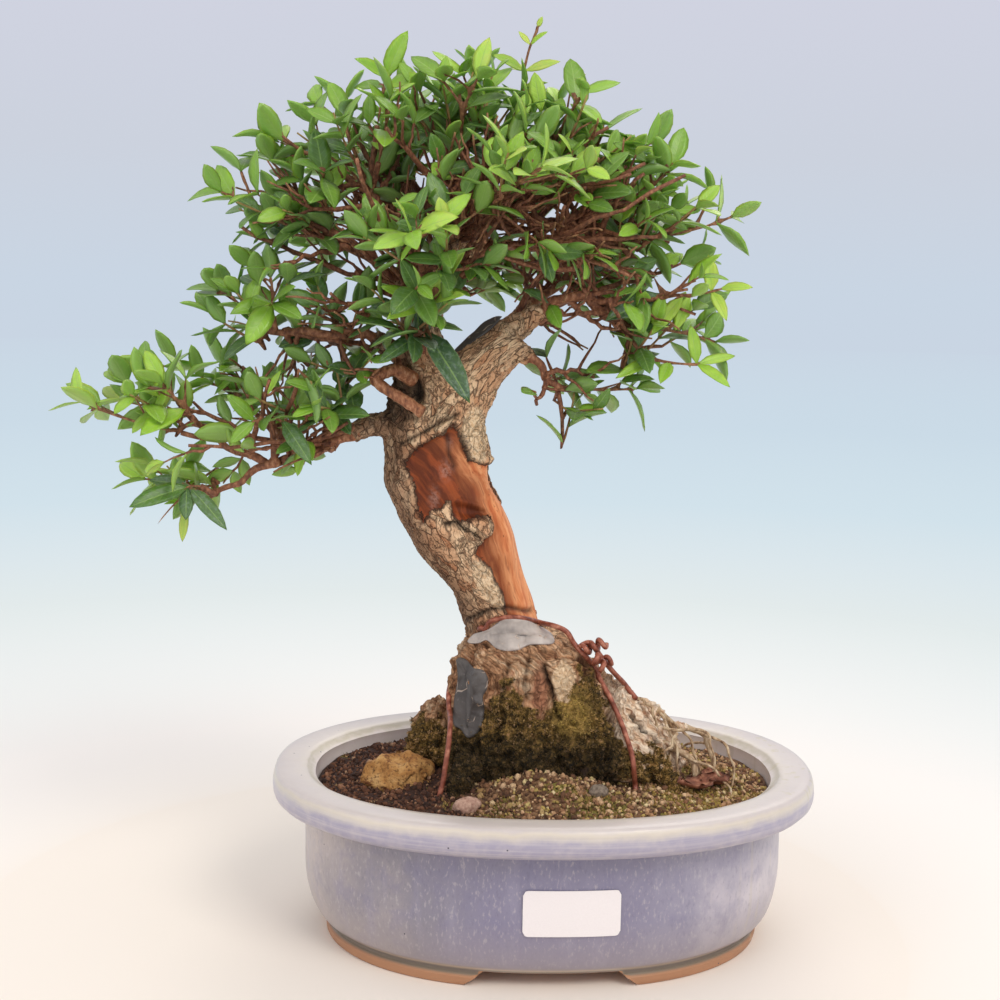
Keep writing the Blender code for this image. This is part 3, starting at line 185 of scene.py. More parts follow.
ROOTS = (
    ((38, 2, 96, 2.6), (48, 2, 93, 1.9), (55, 0, 86, 1.5), (57, -3, 77, 1.3), (58, -4, 60, 1.2)),
    ((44, 2, 86, 2.4), (58, 3, 85, 1.7), (68, 1, 82, 1.4), (72, -1, 74, 1.2), (73, -3, 58, 1.1)),
    ((46, -6, 80, 3.0), (56, -9, 78, 2.0), (63, -12, 72, 1.6), (66, -14, 58, 1.4)),
)
THICK_ROOTS = (
    ((40, -14, 76, 5.0), (49, -20, 71, 3.6), (58, -26, 62, 2.6)),
    ((-30, -16, 74, 5.5), (-36, -28, 68, 4.0), (-38, -36, 58, 3.0)),
    ((20, 24, 76, 5.5), (30, 36, 68, 4.0), (36, 44, 58, 3.0)),
)
ROOTLETS = (
    ((54, 0, 88, 0.7), (60, -5, 84, 0.6), (64, -9, 76, 0.55), (66, -10, 62, 0.5)),
    ((57, -3, 79, 0.7), (52, -12, 74, 0.6), (50, -16, 66, 0.5)),
    ((66, 1, 83, 0.7), (76, -6, 80, 0.6), (80, -10, 72, 0.5), (80, -12, 60, 0.5)),
    ((48, 2, 93, 0.8), (53, -8, 86, 0.6), (56, -14, 74, 0.55), (56, -16, 62, 0.5)),
    ((60, -11, 75, 0.7), (70, -16, 72, 0.6), (76, -22, 66, 0.5), (78, -24, 60, 0.5)),
    ((70, 0, 78, 0.6), (66, 8, 76, 0.55), (60, 14, 70, 0.5), (56, 18, 60, 0.5)),
    (
        (36, -3, 96, 0.8), (39.5, -6, 99.0, 0.75), (43.2, -8, 97.4, 0.7), (45.8, -9, 93.6, 0.65),
        (47, -9, 86, 0.6),
    ),
    (
        (50, -8, 87, 0.7), (56.7, -12, 87.0, 0.7), (63, -12, 87.6, 0.65), (67.9, -13, 86.0, 0.6),
        (70.6, -15, 78, 0.5), (70.6, -15, 62, 0.5),
    ),
    (
        (55, -13, 86.4, 0.6), (52.7, -16, 81.9, 0.6), (49.6, -18, 78.4, 0.55), (49.4, -19, 70, 0.5),
        (49.4, -19, 60, 0.5),
    ),
)
LUMPS = (((-45.5, 10, 78.5), (10.5, 13, 15.5)), ((30, -26, 75), (8, 6, 6)), ((12, -24, 86), (11, 7, 13)))

# Marks on the trunk, as outlines and lines seen from the front (across, height)
BARE_WOOD = (
    (-43.6, 212.4), (-40.2, 215.4), (-36.6, 208.5), (-34.2, 201.1), (-26.7, 198.3), (0, 197), (10, 180),
    (12, 164), (12, 138), (-4.3, 127), (-14.9, 127), (-18, 142), (-24.5, 156.7), (-30.3, 162.5),
    (-29.8, 166.0), (-25.5, 169.0), (-23.8, 174.0), (-25.6, 177.7), (-30.1, 178.6), (-34.1, 176.6),
    (-38.2, 176.3), (-40.4, 179.5), (-40.6, 184.2), (-43.0, 184.4), (-45.6, 181.6), (-49.0, 180.6),
    (-52.3, 175.0), (-54.3, 181.9), (-55.8, 191.1), (-59.9, 199.1), (-55.4, 205.4),
)
WOOD_FLOW = ((-54.0, 216.0), (-42.0, 205.0), (-30.0, 190.0), (-23.5, 170.0), (-18.5, 148.0), (-12.0, 125.0))
# Painted gloss highlights on the bare wood: the middle and half sizes of each spot
WOOD_GLOSS_SPOTS = (((-43.3, 197.0), (2.6, 3.4)), ((-48.2, 185.0), (1.8, 4.2)), ((-42.0, 207.5), (1.4, 2.2)))
BARK_RIDGE = ((-61.7, 204.8), (-52.6, 210.0), (-45.9, 214.1), (-38.0, 217.6))
TRUNK_FOOT = ((-35.2, 130.7), (-25.0, 137.5), (-17.0, 138.4), (-5.0, 135.5))
WOOD_GROOVE = ((-43.0, 211.0), (-42.0, 203.0), (-39.5, 198.5))
WOOD_FOLD = ((-37.0, 213.0), (-35.8, 206.0), (-33.0, 200.0))
STUMP_CLEFT = ((-2.1, 117.5), (-0.8, 110.5), (1.4, 106.3), (2.7, 100.4), (4.1, 95.2))
SLOPE_CLEFT = ((36.0, 93.9), (40.3, 89.7), (44.1, 85.4), (48.0, 81.6))
STUMP_SEAMS = (
    ((-16.0, 118.0), (-19.0, 108.0), (-18.5, 96.0), (-21.0, 84.0)),
    ((13.0, 117.0), (17.5, 108.0), (20.0, 97.0)),
    ((-8.0, 120.0), (-9.5, 112.0), (-8.5, 104.0)),
    ((26.0, 96.0), (30.0, 88.0), (32.0, 79.0)),
)
KNOT = (-39.5, 171.5)
KNOT_BEAD = (-29.9, 172.7)
KNOT_CREASE = (
    (-43.0, 175.2), (-39.3, 176.0), (-36.9, 174.4), (-35.0, 172.8), (-32.3, 171.4), (-29.6, 169.2),
)
KNOT_CUP = (-33.6, 180.4)
KNOT_LIP = ((-40.8, 185.6), (-36.5, 184.8), (-31.0, 183.4), (-27.0, 181.0), (-24.4, 177.6))
ROT_HOLE = (-56.2, 229.5)
PALE_PLATES = (((-32.0, 210.5), (5.6, 12.5)), ((-24.8, 149.5), (5.6, 11.5)), ((6.5, 109.5), (5.0, 8.0)))
MOSS_LINE = (
    (-42, 80), (-38, 88), (-30, 96), (-24, 104), (-19, 112), (-13, 110), (-8, 104), (-2, 97), (4, 100),
    (8, 104), (12, 113), (19, 111), (26, 99), (34, 80),
)
BRIGHT_MOSS = ((9.5, 98.5), (9.0, 9.0))
TORN_BARK = ((-62.0, 226.0), (9.5, 13.0))
# The deepest cut and the highest bump of the bark
RELIEF_LIMITS = (-5.0, 3.2)

# Leafy pads: the bough that carries each, its middle, its half sizes, the lowest share of its
# height that its shoots point to, and how many shoots are added to its drawn sprays
PADS = {
    "low_left": ("low_left", (-171, -3, 227), (23, 28, 13), -0.5, 6),
    "low_left_tail": ("low_left_tail", (-156, 2, 191), (16, 16, 8), -0.8, 3),
    "low_left_inner": ("low_left_fork", (-124, 14, 226), (24, 24, 13), -0.4, 5),
    "low_left_middle": ("low_left", (-106, -14, 226), (34, 22, 14), -0.6, 5),
    "middle_left": ("middle_left", (-130, -6, 260), (27, 30, 14), -0.5, 5),
    "upper_left": ("upper_left", (-112, -4, 306), (27, 32, 18), -0.5, 5),
    "top_left": ("top_left", (-86, 0, 331), (28, 34, 19), -0.4, 5),
    "top": ("top", (-38, 2, 344), (31, 36, 17), -0.2, 9),
    "top_right": ("top_right", (9, 2, 333), (28, 34, 19), -0.4, 8),
    "right": ("right", (46, -2, 303), (25, 34, 19), -0.6, 8),
    "right_low": ("right_low", (46, 2, 256), (25, 32, 15), -0.6, 5),
    "droop": ("droop", (13, -10, 226), (17, 14, 9), -0.8, 3),
    "front": ("front", (-48, -54, 291), (36, 20, 17), -0.4, 3),
    "front_middle": ("front", (-64, -36, 264), (34, 20, 18), -0.6, 4),
    "inner_left": ("middle_left", (-92, -12, 262), (24, 24, 12), -0.3, 3),
    "inner_gap": ("middle_left", (-88, -16, 242), (26, 20, 13), -0.7, 2),
    "front_top": ("front_top", (-20, -54, 314), (38, 22, 18), -0.3, 2),
    "back": ("back", (-38, 60, 284), (38, 22, 24), -0.6, 10),
    "back_top": ("back_top", (-66, 52, 322), (30, 22, 18), -0.4, 8),
    "back_right": ("back_right", (22, 50, 292), (28, 22, 22), -0.5, 9),
}
# Twigs that fan out inside the crown: the bough, the span of it that they leave, how many, and the
# middle and half sizes of the space that they reach for
TWIG_FANS = (
    ("upright", 0.35, 1.0, 12, (-64, -8, 286), (34, 34, 28)),
    ("top", 0.1, 1.0, 26, (-40, -8, 318), (46, 40, 24)),
    ("top_right", 0.1, 1.0, 22, (-4, -8, 312), (38, 36, 22)),
    ("right", 0.1, 1.0, 30, (10, -12, 296), (44, 38, 22)),
    ("right_low", 0.1, 1.0, 12, (24, -8, 264), (34, 30, 20)),
    ("droop", 0.3, 1.0, 5, (6, -12, 234), (18, 14, 10)),
    ("upper_left", 0.1, 1.0, 12, (-96, -2, 296), (34, 32, 20)),
    ("top_left", 0.1, 1.0, 12, (-82, 0, 314), (30, 32, 20)),
    ("middle_left", 0.1, 1.0, 10, (-104, -8, 250), (38, 28, 16)),
    ("low_left", 0.15, 1.0, 11, (-118, -8, 218), (42, 28, 18)),
    ("front", 0.1, 1.0, 8, (-52, -34, 286), (36, 22, 20)),
    ("front_top", 0.1, 1.0, 9, (-20, -36, 304), (36, 22, 20)),
    ("back", 0.1, 1.0, 8, (-42, 40, 282), (36, 22, 22)),
    ("back_top", 0.1, 1.0, 7, (-58, 36, 308), (30, 22, 20)),
    ("back_right", 0.1, 1.0, 8, (8, 34, 284), (32, 22, 22)),
)
# The crown's outline and its open places, across and in height, as the eye sees them on an upright
# plane through the crown
CROWN_PLANE = -10.0
CROWN_OUTLINE = (
    (-63.6, 369.6), (-56.4, 362.1), (-31.8, 363.4), (-23.9, 366.7), (-15.2, 367.6), (-11.8, 378.5),
    (-6.0, 378.0), (-0.7, 362.6), (12.2, 355.8), (13.4, 342.6), (36.9, 333.7), (49.0, 324.1),
    (58.6, 314.0), (71.5, 305.5), (71.9, 297.1), (68.4, 291.4), (68.8, 280.2), (80.4, 275.9),
    (79.8, 271.1), (73.1, 262.8), (60.6, 256.5), (71.6, 246.5), (74.4, 239.2), (74.2, 232.6),
    (59.5, 228.7), (37.0, 233.7), (27.5, 220.9), (16.0, 217.4), (-4.9, 216.3), (-14.2, 228.5),
    (-13.1, 235.9), (-25.1, 246.3), (-43.9, 245.1), (-47.8, 236.1), (-54.2, 226.7), (-69.7, 219.5),
    (-87.9, 200.8), (-100.2, 194.0), (-118.5, 188.4), (-130.0, 183.3), (-130.4, 172.6), (-145.6, 164.9),
    (-153.3, 164.8), (-173.9, 177.4), (-167.3, 191.1), (-180.1, 202.9), (-191.2, 212.5), (-193.8, 221.0),
    (-200.6, 225.8), (-199.7, 230.6), (-188.4, 234.8), (-178.6, 245.9), (-172.7, 239.9), (-153.4, 237.0),
    (-147.4, 240.3), (-147.3, 253.2), (-160.0, 262.6), (-159.9, 267.0), (-144.7, 270.1), (-131.1, 282.2),
    (-131.4, 288.6), (-141.4, 290.4), (-135.7, 303.5), (-141.6, 316.7), (-127.0, 308.4), (-123.7, 319.4),
    (-105.9, 333.1), (-100.3, 344.1), (-82.9, 349.1), (-73.1, 359.4),
)
CROWN_GAPS = (
    ((-45, 311), (19, 8)), ((-14, 300), (26, 13)), ((17, 292), (6, 5)), ((-40, 286), (14, 9)),
    ((-121, 310), (10, 7)), ((-103, 306), (6, 4)), ((-129, 302), (6, 7)), ((3, 318), (6, 6)),
    ((-42, 359), (6, 6)), ((-112, 228), (6, 5)), ((-85, 234), (7, 11)), ((-139, 240), (11, 5)),
    ((-125, 197), (15, 8)), ((-174, 200), (6, 6)), ((-148, 209), (6, 5)), ((22, 257), (6, 6)),
    ((58, 265), (5, 6)), ((4, 266), (6, 6)), ((-32, 258), (8, 6)), ((-5, 236), (14, 12)),
    ((32, 229), (6, 5)), ((-123, 256), (16, 6)), ((-123, 241), (14, 6)), ((-91, 244), (6, 5)),
    ((-118, 225), (9, 6)), ((-118, 338), (15, 10)), ((-91, 345), (10, 5)), ((-130, 331), (8, 12)),
    ((43, 271), (6, 7)), ((44, 249), (8, 6)), ((3, 225), (6, 12)), ((-97, 264), (5, 4)),
    ((34, 308), (5, 4)),
)
# Shoots that show most: the bough and the share of its length where each leaves, the end of its
# twig, the next point beyond it, and how young its leaves look
FRONT_SHOOTS = {
    "front_low": ("upright", 0.35, (-53, -16, 246), (-52.5, -21, 252), 0.85),
    "low_left_hang": ("low_left_tail", 1.0, (-142, -12, 188), (-145, -12.5, 188.5), 0.15),
    "left_inner": ("low_left", 0.62, (-114, -13, 212), (-113, -17, 218), 0.5),
    "right_tip": ("right", 1.0, (40, -8, 277), (44, -10, 269), 0.85),
    "right_low_tip": ("right_low", 1.0, (35, -8, 247), (39, -9, 243), 0.8),
    "top_tip": ("top_right", 0.3, (-15, 3, 340), (-14, 2, 356), 1.0),
    "top_left_tip": ("top_left", 1.0, (-73, 3, 334), (-71, 2, 346), 0.65),
}
# Leaves that are plainly older or younger than the rest of their shoot: tip and age
OLD_AND_YOUNG = (
    ((-34, -40, 227), 0.0), ((-70, -38, 242), 0.1), ((-151, -11, 165), 1.0), ((-97, -34, 201), 0.15),
    ((20, -26, 259), 0.05), ((-54, -15, 353), 0.75),
)
CROWN_MIDDLE = Vector((-45.0, 0.0, 285.0))
CROWN_REACH = (118.0, 72.0, 92.0)
# Share of the leaf's length, and its half width there
LEAF_STATIONS = ((0.0, 0.1), (0.1, 0.34), (0.27, 0.86), (0.48, 1.0), (0.7, 0.84), (0.88, 0.44), (1.0, 0.0))
# Points round a leaf: how far across, and how far under its upper face
LEAF_SECTION = ((-1, 0.0), (-0.5, 0.0), (0, 0.0), (0.5, 0.0), (1, 0.0), (0.5, 0.02), (0, 0.032), (-0.5, 0.02))
LEAF_KINDS = 9
# How fine the grid is that leaves near each other are looked up in, and the share of the leaves
# in the crown's open places that stays away
ROOM_CELL = 4.0
GAP_EMPTINESS = 0.88
LEAF_CLEARANCE = 3.2

FALLEN_LEAVES = {"fallen_leaf_1": ((63, -23), 24, 22, 75), "fallen_leaf_2": ((72, -15), 118, 19, 95)}
WIRE_RADIUS = 1.1
# Wire routes, laid on the stump where they cross it
TIE_WIRE = (
    (-30, 0, 4.7), (-42, 0, 5.0), (-45, 0, 12.0), (-45, -8, 30.0), (-45, -28, 52.0), (-44.3, -32, 64.1),
    (-43.0, -31, 70.1), (-41.8, -30, 78.2), (-40.7, -28, 86.5), (-40.2, -25, 94.5), (-40.8, -16, 98.0),
    (-40.8, -4, 101.0), (-39.2, 6, 104.5), (-36.2, 14, 110.0), (-33.8, 15, 116.5), (-30.4, 11, 122.5),
    (-27.6, 1, 127.6), (-26.1, -9, 129.2), (-24.1, -9.5, 132.4), (-20.0, -11, 134.2),
    (-14.2, -11.5, 134.9), (-8.3, -10, 133.8), (-2.7, -8, 132.0), (3.2, -9, 130.8), (8.2, -10, 128.5),
    (11.2, -13, 124.1), (17.2, -16, 117.9), (19.9, -18, 114.6), (21.6, -20, 110.6), (25.2, -22, 104.4),
    (29.2, -25, 96.2), (32.2, -27, 88.6), (34.6, -29, 80.9), (35.6, -30, 73.2), (37.0, -30, 64.0),
    (43.0, -20, 50.0), (45.0, -8, 30.0), (45.0, 0, 12.0), (42.0, 0, 5.0), (30.0, 0, 4.7),
)
TWIST_WIRE = (
    (48, 22, 60.0), (46, 19, 78.0), (42, 13, 92.0), (36.4, 2, 100.8), (32.7, -6, 106.3), (29.2, -9, 110.2),
    (25.8, -11, 114.3), (23.0, -13, 118.0), (20.3, -14, 121.7), (17.6, -13, 124.6), (15.4, -12, 124.0),
    (13.2, -13, 122.8),
)
# Coils of the second wire: from, to, radius and turns
WIRE_COILS = (
    ((15.2, -13.0, 121.8), (24.4, -13.0, 125.0), 1.9, 2.7),
    ((19.0, -17.0, 119.6), (22.8, -17.0, 115.0), 1.9, 1.4),
    ((21.5, -14.5, 117.0), (27.0, -13.0, 117.4), 1.6, 1.6),
)
# Cut paste: how far back its outline was drawn, the line that its middle follows, its outline seen
# from the front, and how much painted shade darkens it
PASTES = {
    "paste_top": (
        -18,
        ((-29, 127.3), (-24, 129), (-14, 129.5), (-2, 128)),
        (
            (-33.7, 126.1), (-30.9, 129.1), (-25.6, 130.8), (-20.1, 134.6), (-15.8, 135.5), (-10.1, 135.1),
            (-5.8, 133.7), (0.9, 129.8), (1.8, 125.3), (-7.7, 124.6), (-12.2, 122.5), (-17.6, 122.0),
            (-22.1, 123.4), (-25.5, 126.4), (-28.8, 125.2), (-32.5, 125.0),
        ),
        0.0,
    ),
    "paste_side": (
        -20,
        ((-34, 112), (-31, 106), (-31.5, 97), (-33.5, 91)),
        (
            (-38.2, 118.5), (-36.6, 119.6), (-33.7, 118.6), (-30.7, 115.3), (-27.0, 114.4), (-24.9, 111.0),
            (-25.2, 106.4), (-26.8, 103.0), (-26.1, 98.3), (-26.7, 92.8), (-28.7, 87.7), (-32.8, 85.5),
            (-36.1, 89.3), (-38.8, 91.4), (-38.9, 100.6), (-38.0, 106.3), (-37.4, 111.9),
        ),
        0.84,
    ),
}


# Small tools


def placed(point):
    """Millimetres from the pot's middle as a place in the scene."""
    return (Vector(point) + SHIFT / MM) * MM


def measured(point):
    """A place in the scene as millimetres from the pot's middle."""
    return Vector(point) / MM - SHIFT / MM


def mix(a, b, t):
    return a + (b - a) * t


def taper(thick, thin, count):
    return [mix(thick, thin, i / count) for i in range(count + 1)]


def jitter(rng, reach):
    return Vector([rng.uniform(-reach, reach) for _ in range(3)])


def smooth_step(low, high, value):
    t = np.clip((value - low) / (high - low), 0.0, 1.0)
    return t * t * (3 - 2 * t)


def signed_power(value, power):
    return math.copysign(abs(value) ** power, value)


def smooth_path(points, steps):
    """A Catmull-Rom curve through points of any dimension, as lists of numbers."""
    ends = [points[0], *points, points[-1]]
    path = []
    for k in range(1, len(ends) - 2):
        for s in range(steps):
            t = s / steps
            row = []
            for a, b, c, d in zip(*ends[k - 1 : k + 3]):
                curve = (2 * a - 5 * b + 4 * c - d) * t * t + (3 * b - a - 3 * c + d) * t**3
                row.append(0.5 * (2 * b + (c - a) * t + curve))
            path.append(row)
    path.append(list(points[-1]))
    return path


def bough_point(rows, share):
    path = smooth_path(rows, 6)
    at = share * (len(path) - 1)
    i = min(int(at), len(path) - 2)
    row = [mix(a, b, at - i) for a, b in zip(path[i], path[i + 1])]
    return Vector(row[:3]), row[3]


def oval(half_x, half_y, z, sides):
    ring = []
    for i in range(sides):
        angle = 2 * math.pi * i / sides
        x = half_x * signed_power(math.cos(angle), 2 / OVAL_POWER)
        y = half_y * signed_power(math.sin(angle), 2 / OVAL_POWER)
        ring.append(Vector((x, y, z)))
    return ring


def loft(rings):
    """A closed shape through rings of equally many points, with a flat cap at each end."""
    count = len(rings[0])
    points = [p for ring in rings for p in ring]
    faces = [tuple(reversed(range(count)))]
    for row in range(len(rings) - 1):
        low, high = row * count, (row + 1) * count
        for i in range(count):
            j = (i + 1) % count
            faces.append((low + i, low + j, high + j, high + i))
    last = (len(rings) - 1) * count
    faces.append(tuple(range(last, last + count)))
    return points, faces


def tube(points, radii, sides):
    points = [Vector(p[:3]) for p in points]
    heading = (points[1] - points[0]).normalized()
    side = heading.orthogonal().normalized()
    rings = []
    for i, point in enumerate(points):
        new = (points[min(i + 1, len(points) - 1)] - points[max(i - 1, 0)]).normalized()
        side = heading.rotation_difference(new) @ side
        heading = new
        side = (side - heading * side.dot(heading)).normalized()
        other = heading.cross(side)
        ring = []
        for k in range(sides):
            angle = 2 * math.pi * k / sides
            ring.append(point + (side * math.cos(angle) + other * math.sin(angle)) * radii[i])
        rings.append(ring)
    return loft(rings)


def joined(shapes):
    """Several shapes as one list of points and faces."""
    points, faces = [], []
    for shape_points, shape_faces in shapes:
        start = len(points)
        points += shape_points
        faces += [tuple(start + i for i in face) for face in shape_faces]
    return points, faces


def ball(subdivisions, radius, moved):
    """A ball of triangles with each of its points moved."""
    work = bmesh.new()
    bmesh.ops.create_icosphere(work, subdivisions=subdivisions, radius=radius)
    points = [moved(vert.co) for vert in work.verts]
    faces = [tuple(v.index for v in face.verts) for face in work.faces]
    work.free()
    return points, faces


def linked(name, data):
    """An object with this data, in the scene."""
    obj = bpy.data.objects.new(name, data)
    bpy.context.scene.collection.objects.link(obj)
    return obj


def make_object(name, shape, finish=None, values=None):
    """An object from points in millimetres; values are numbers for each point, by name."""
    points, faces = shape
    mesh = bpy.data.meshes.new(name)
    mesh.from_pydata([placed(p) for p in points], [], faces)
    for key, numbers in (values or {}).items():
        write_values(mesh, key, numbers)
    if faces:
        mesh.shade_smooth()
    if finish:
        mesh.materials.append(finish)
    return linked(name, mesh)


def write_values(mesh, key, numbers, kind="FLOAT"):
    layer = mesh.attributes.get(key) or mesh.attributes.new(key, kind, "POINT")
    field = "value" if kind == "FLOAT" else "vector"
    layer.data.foreach_set(field, np.asarray(numbers, dtype=np.float32).ravel())


def face_outwards(obj, sheet=False):
    """Turns the faces outwards, or upwards where they are an open sheet."""
    work = bmesh.new()
    work.from_mesh(obj.data)
    if not sheet:
        bmesh.ops.remove_doubles(work, verts=work.verts, dist=1e-6)
    bmesh.ops.recalc_face_normals(work, faces=work.faces)
    if sheet and sum(face.normal.z for face in work.faces) < 0:
        bmesh.ops.reverse_faces(work, faces=work.faces)
    work.to_mesh(obj.data)
    work.free()
    obj.data.shade_smooth()


def bake(obj):
    """Turns the object's modifiers into its plain mesh."""
    bpy.context.view_layer.update()
    evaluated = obj.evaluated_get(bpy.context.evaluated_depsgraph_get())
    mesh = bpy.data.meshes.new_from_object(evaluated)
    obj.modifiers.clear()
    obj.data = mesh
    return obj


def remove(obj):
    bpy.data.objects.remove(obj)


def finish_piece(obj, slot, *nodes):
    """Hangs a finished piece on the root body and hides the frame nodes that it stands for. The slot is not
    used.
    """
    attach(obj, "root")
    if nodes:
        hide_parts(*nodes)


def merged_copy(node):
    """The frame node's mesh with its doubles merged, ready to be reshaped."""
    work = bmesh.new()
    work.from_mesh(frame["nodes"][node].data)
    bmesh.ops.remove_doubles(work, verts=work.verts, dist=2e-6)
    return work


def rounded(work, name, finish, levels, swell, rough=None, flat=50):
    """A drawn mesh as quads, subdivided, swollen and roughened by a rule."""
    limit = math.radians(flat)
    bmesh.ops.join_triangles(work, faces=work.faces, angle_face_threshold=limit, angle_shape_threshold=limit)
    mesh = bpy.data.meshes.new(name)
    work.to_mesh(mesh)
    work.free()
    mesh.shade_smooth()
    mesh.materials.append(finish)
    obj = linked(name, mesh)
    rounding = obj.modifiers.new("rounding", "SUBSURF")
    rounding.levels = rounding.render_levels = levels
    bake(obj)
    for vert in obj.data.vertices:
        lift = swell + (rough(measured(vert.co)) if rough else 0.0)
        vert.co += vert.normal * lift * MM
    return obj


# Materials


def colour(red, green, blue):
    """A shader colour from the usual 0 to 255 values."""
    linear = []
    for value in (red, green, blue):
        v = value / 255
        linear.append(v / 12.92 if v <= 0.04045 else ((v + 0.055) / 1.055) ** 2.4)
    return (*linear, 1.0)


def paint(given):
    """A socket as it is, and 0 to 255 values or a colour of the settings as a shader colour."""
    if isinstance(given, bpy.types.NodeSocket):
        return given
    return colour(*given) if isinstance(given, tuple) else (*given, 1.0)


class Nodes:
    """A node tree while its nodes are laid out."""

    def __init__(self, tree):
        self.tree = tree

    def node(self, kind, inputs=None, **settings):
        made = self.tree.nodes.new(kind)
        for key, value in settings.items():
            setattr(made, key, value)
        for key, value in (inputs or {}).items():
            self.feed(made.inputs[key], value)
        return made

    def out(self, kind, inputs=None, output=0, **settings):
        """One output of a new node."""
        return self.node(kind, inputs, **settings).outputs[output]

    def feed(self, socket, value):
        value = getattr(value, "socket", value)
        if isinstance(value, bpy.types.NodeSocket):
            self.tree.links.new(value, socket)
        else:
            socket.default_value = value

    def ramp(self, factor, *stops):
        """Colours along a factor; a stop is its position and then its colour."""
        made = self.node("ShaderNodeValToRGB", {"Fac": factor})
        elements = made.color_ramp.elements
        while len(elements) < len(stops):
            elements.new(1.0)
        for element, (position, *given) in zip(elements, stops):
            element.position = position
            element.color = paint(tuple(given) if len(given) == 3 else given[0])
        return made.outputs["Color"]


def sign(operation, swapped=False):
    """A method of Value that adds one math node."""

    def work(self, other=0.0):
        pair = (other, self) if swapped else (self, other)
        return self.finish.number("ShaderNodeMath", dict(enumerate(pair)), operation=operation)

    return work


class Value:
    """A number among a finish's nodes, which takes the usual signs."""

    __add__, __sub__, __mul__, __pow__ = (sign(kind) for kind in ("ADD", "SUBTRACT", "MULTIPLY", "POWER"))
    __rsub__ = sign("SUBTRACT", True)
    __abs__, most, sine = sign("ABSOLUTE"), sign("MAXIMUM"), sign("SINE")

    def __init__(self, finish, socket):
        self.finish, self.socket = finish, socket

    def span(self, low, high, to_low=0.0, to_high=1.0):
        inputs = {"Value": self, "From Min": low, "From Max": high, "To Min": to_low, "To Max": to_high}
        return self.finish.number("ShaderNodeMapRange", inputs)

    def sway(self, reach):
        """Noise as a number that wanders this far to either side of 0."""
        return self.span(0.3, 0.7, -reach, reach)


class Finish(Nodes):
    """One material while its nodes are laid out, with sizes in millimetres."""

    def __init__(self, name, roughness=0.6):
        self.material = bpy.data.materials.new(name)
        self.material.use_nodes = True
        super().__init__(self.material.node_tree)
        self.surface = self.tree.nodes["Principled BSDF"].inputs
        self.surface["Roughness"].default_value = roughness
        self.place = self.out("ShaderNodeTexCoord", output="Object")

    def number(self, kind, inputs=None, output=0, **settings):
        return Value(self, self.out(kind, inputs, output, **settings))

    def value(self, name):
        return self.number("ShaderNodeAttribute", output="Fac", attribute_name=name)

    def values(self, *names):
        return [self.value(name) for name in names]

    def vector(self, name):
        return self.out("ShaderNodeAttribute", output="Vector", attribute_name=name)

    def axis(self, name):
        return self.number("ShaderNodeSeparateXYZ", {"Vector": self.place}, name)

    def stretched(self, *scale, place=None):
        return self.out("ShaderNodeMapping", {"Vector": place or self.place, "Scale": scale})

    def warped(self, place, size, reach):
        """The place pushed about softly, no farther than the reach."""
        soft = self.out("ShaderNodeTexNoise", {"Vector": place, "Scale": 1000 / size, "Detail": 1.0}, "Color")
        away = self.out("ShaderNodeVectorMath", {0: soft, 1: (0.5, 0.5, 0.5)}, operation="SUBTRACT")
        inputs = {0: away, 1: (reach * 2 * MM,) * 3, 2: place}
        return self.out("ShaderNodeVectorMath", inputs, operation="MULTIPLY_ADD")

    def noise(self, size, detail=3.0, tall=None, place=None, rough=0.55):
        """Soft noise with spots of about this size; a small tall draws them out in height."""
        place = self.stretched(1, 1, tall, place=place) if tall else place or self.place
        inputs = {"Vector": place, "Scale": 1000 / size, "Detail": detail, "Roughness": rough}
        return self.number("ShaderNodeTexNoise", inputs)

    def cells(self, size, output="Distance", place=None, **settings):
        inputs = {"Vector": place or self.place, "Scale": 1000 / size}
        return self.number("ShaderNodeTexVoronoi", inputs, output, **settings)

    def cracks(self, size, place=None):
        return self.cells(size, place=place, feature="DISTANCE_TO_EDGE")

    def patches(self, size, place=None):
        """One random number for each cell of about this size."""
        return self.number("ShaderNodeSeparateColor", {"Color": self.cells(size, "Color", place)}, "Red")

    def blend(self, factor, low, high):
        return self.out("ShaderNodeMix", {0: factor, 6: paint(low), 7: paint(high)}, 2, data_type="RGBA")

    def cover(self, shade, *layers):
        """The shade with layers over it, each a factor and a colour."""
        for factor, over in layers:
            shade = self.blend(factor, shade, over)
        return shade

    def bump(self, height, depth, strength=1.0, under=None):
        """Fine relief of this depth, over any relief under it."""
        inputs = {"Height": height, "Distance": depth * MM, "Strength": strength}
        return self.out("ShaderNodeBump", inputs | ({"Normal": under} if under else {}))

    def done(self, shade, relief=None, **inputs):
        """The material, once its colour, relief and other inputs are set."""
        inputs |= {"Base Color": shade} | ({"Normal": relief} if relief else {})
        for key, value in inputs.items():
            self.feed(self.surface[key.replace("_", " ")], value)
        return self.material


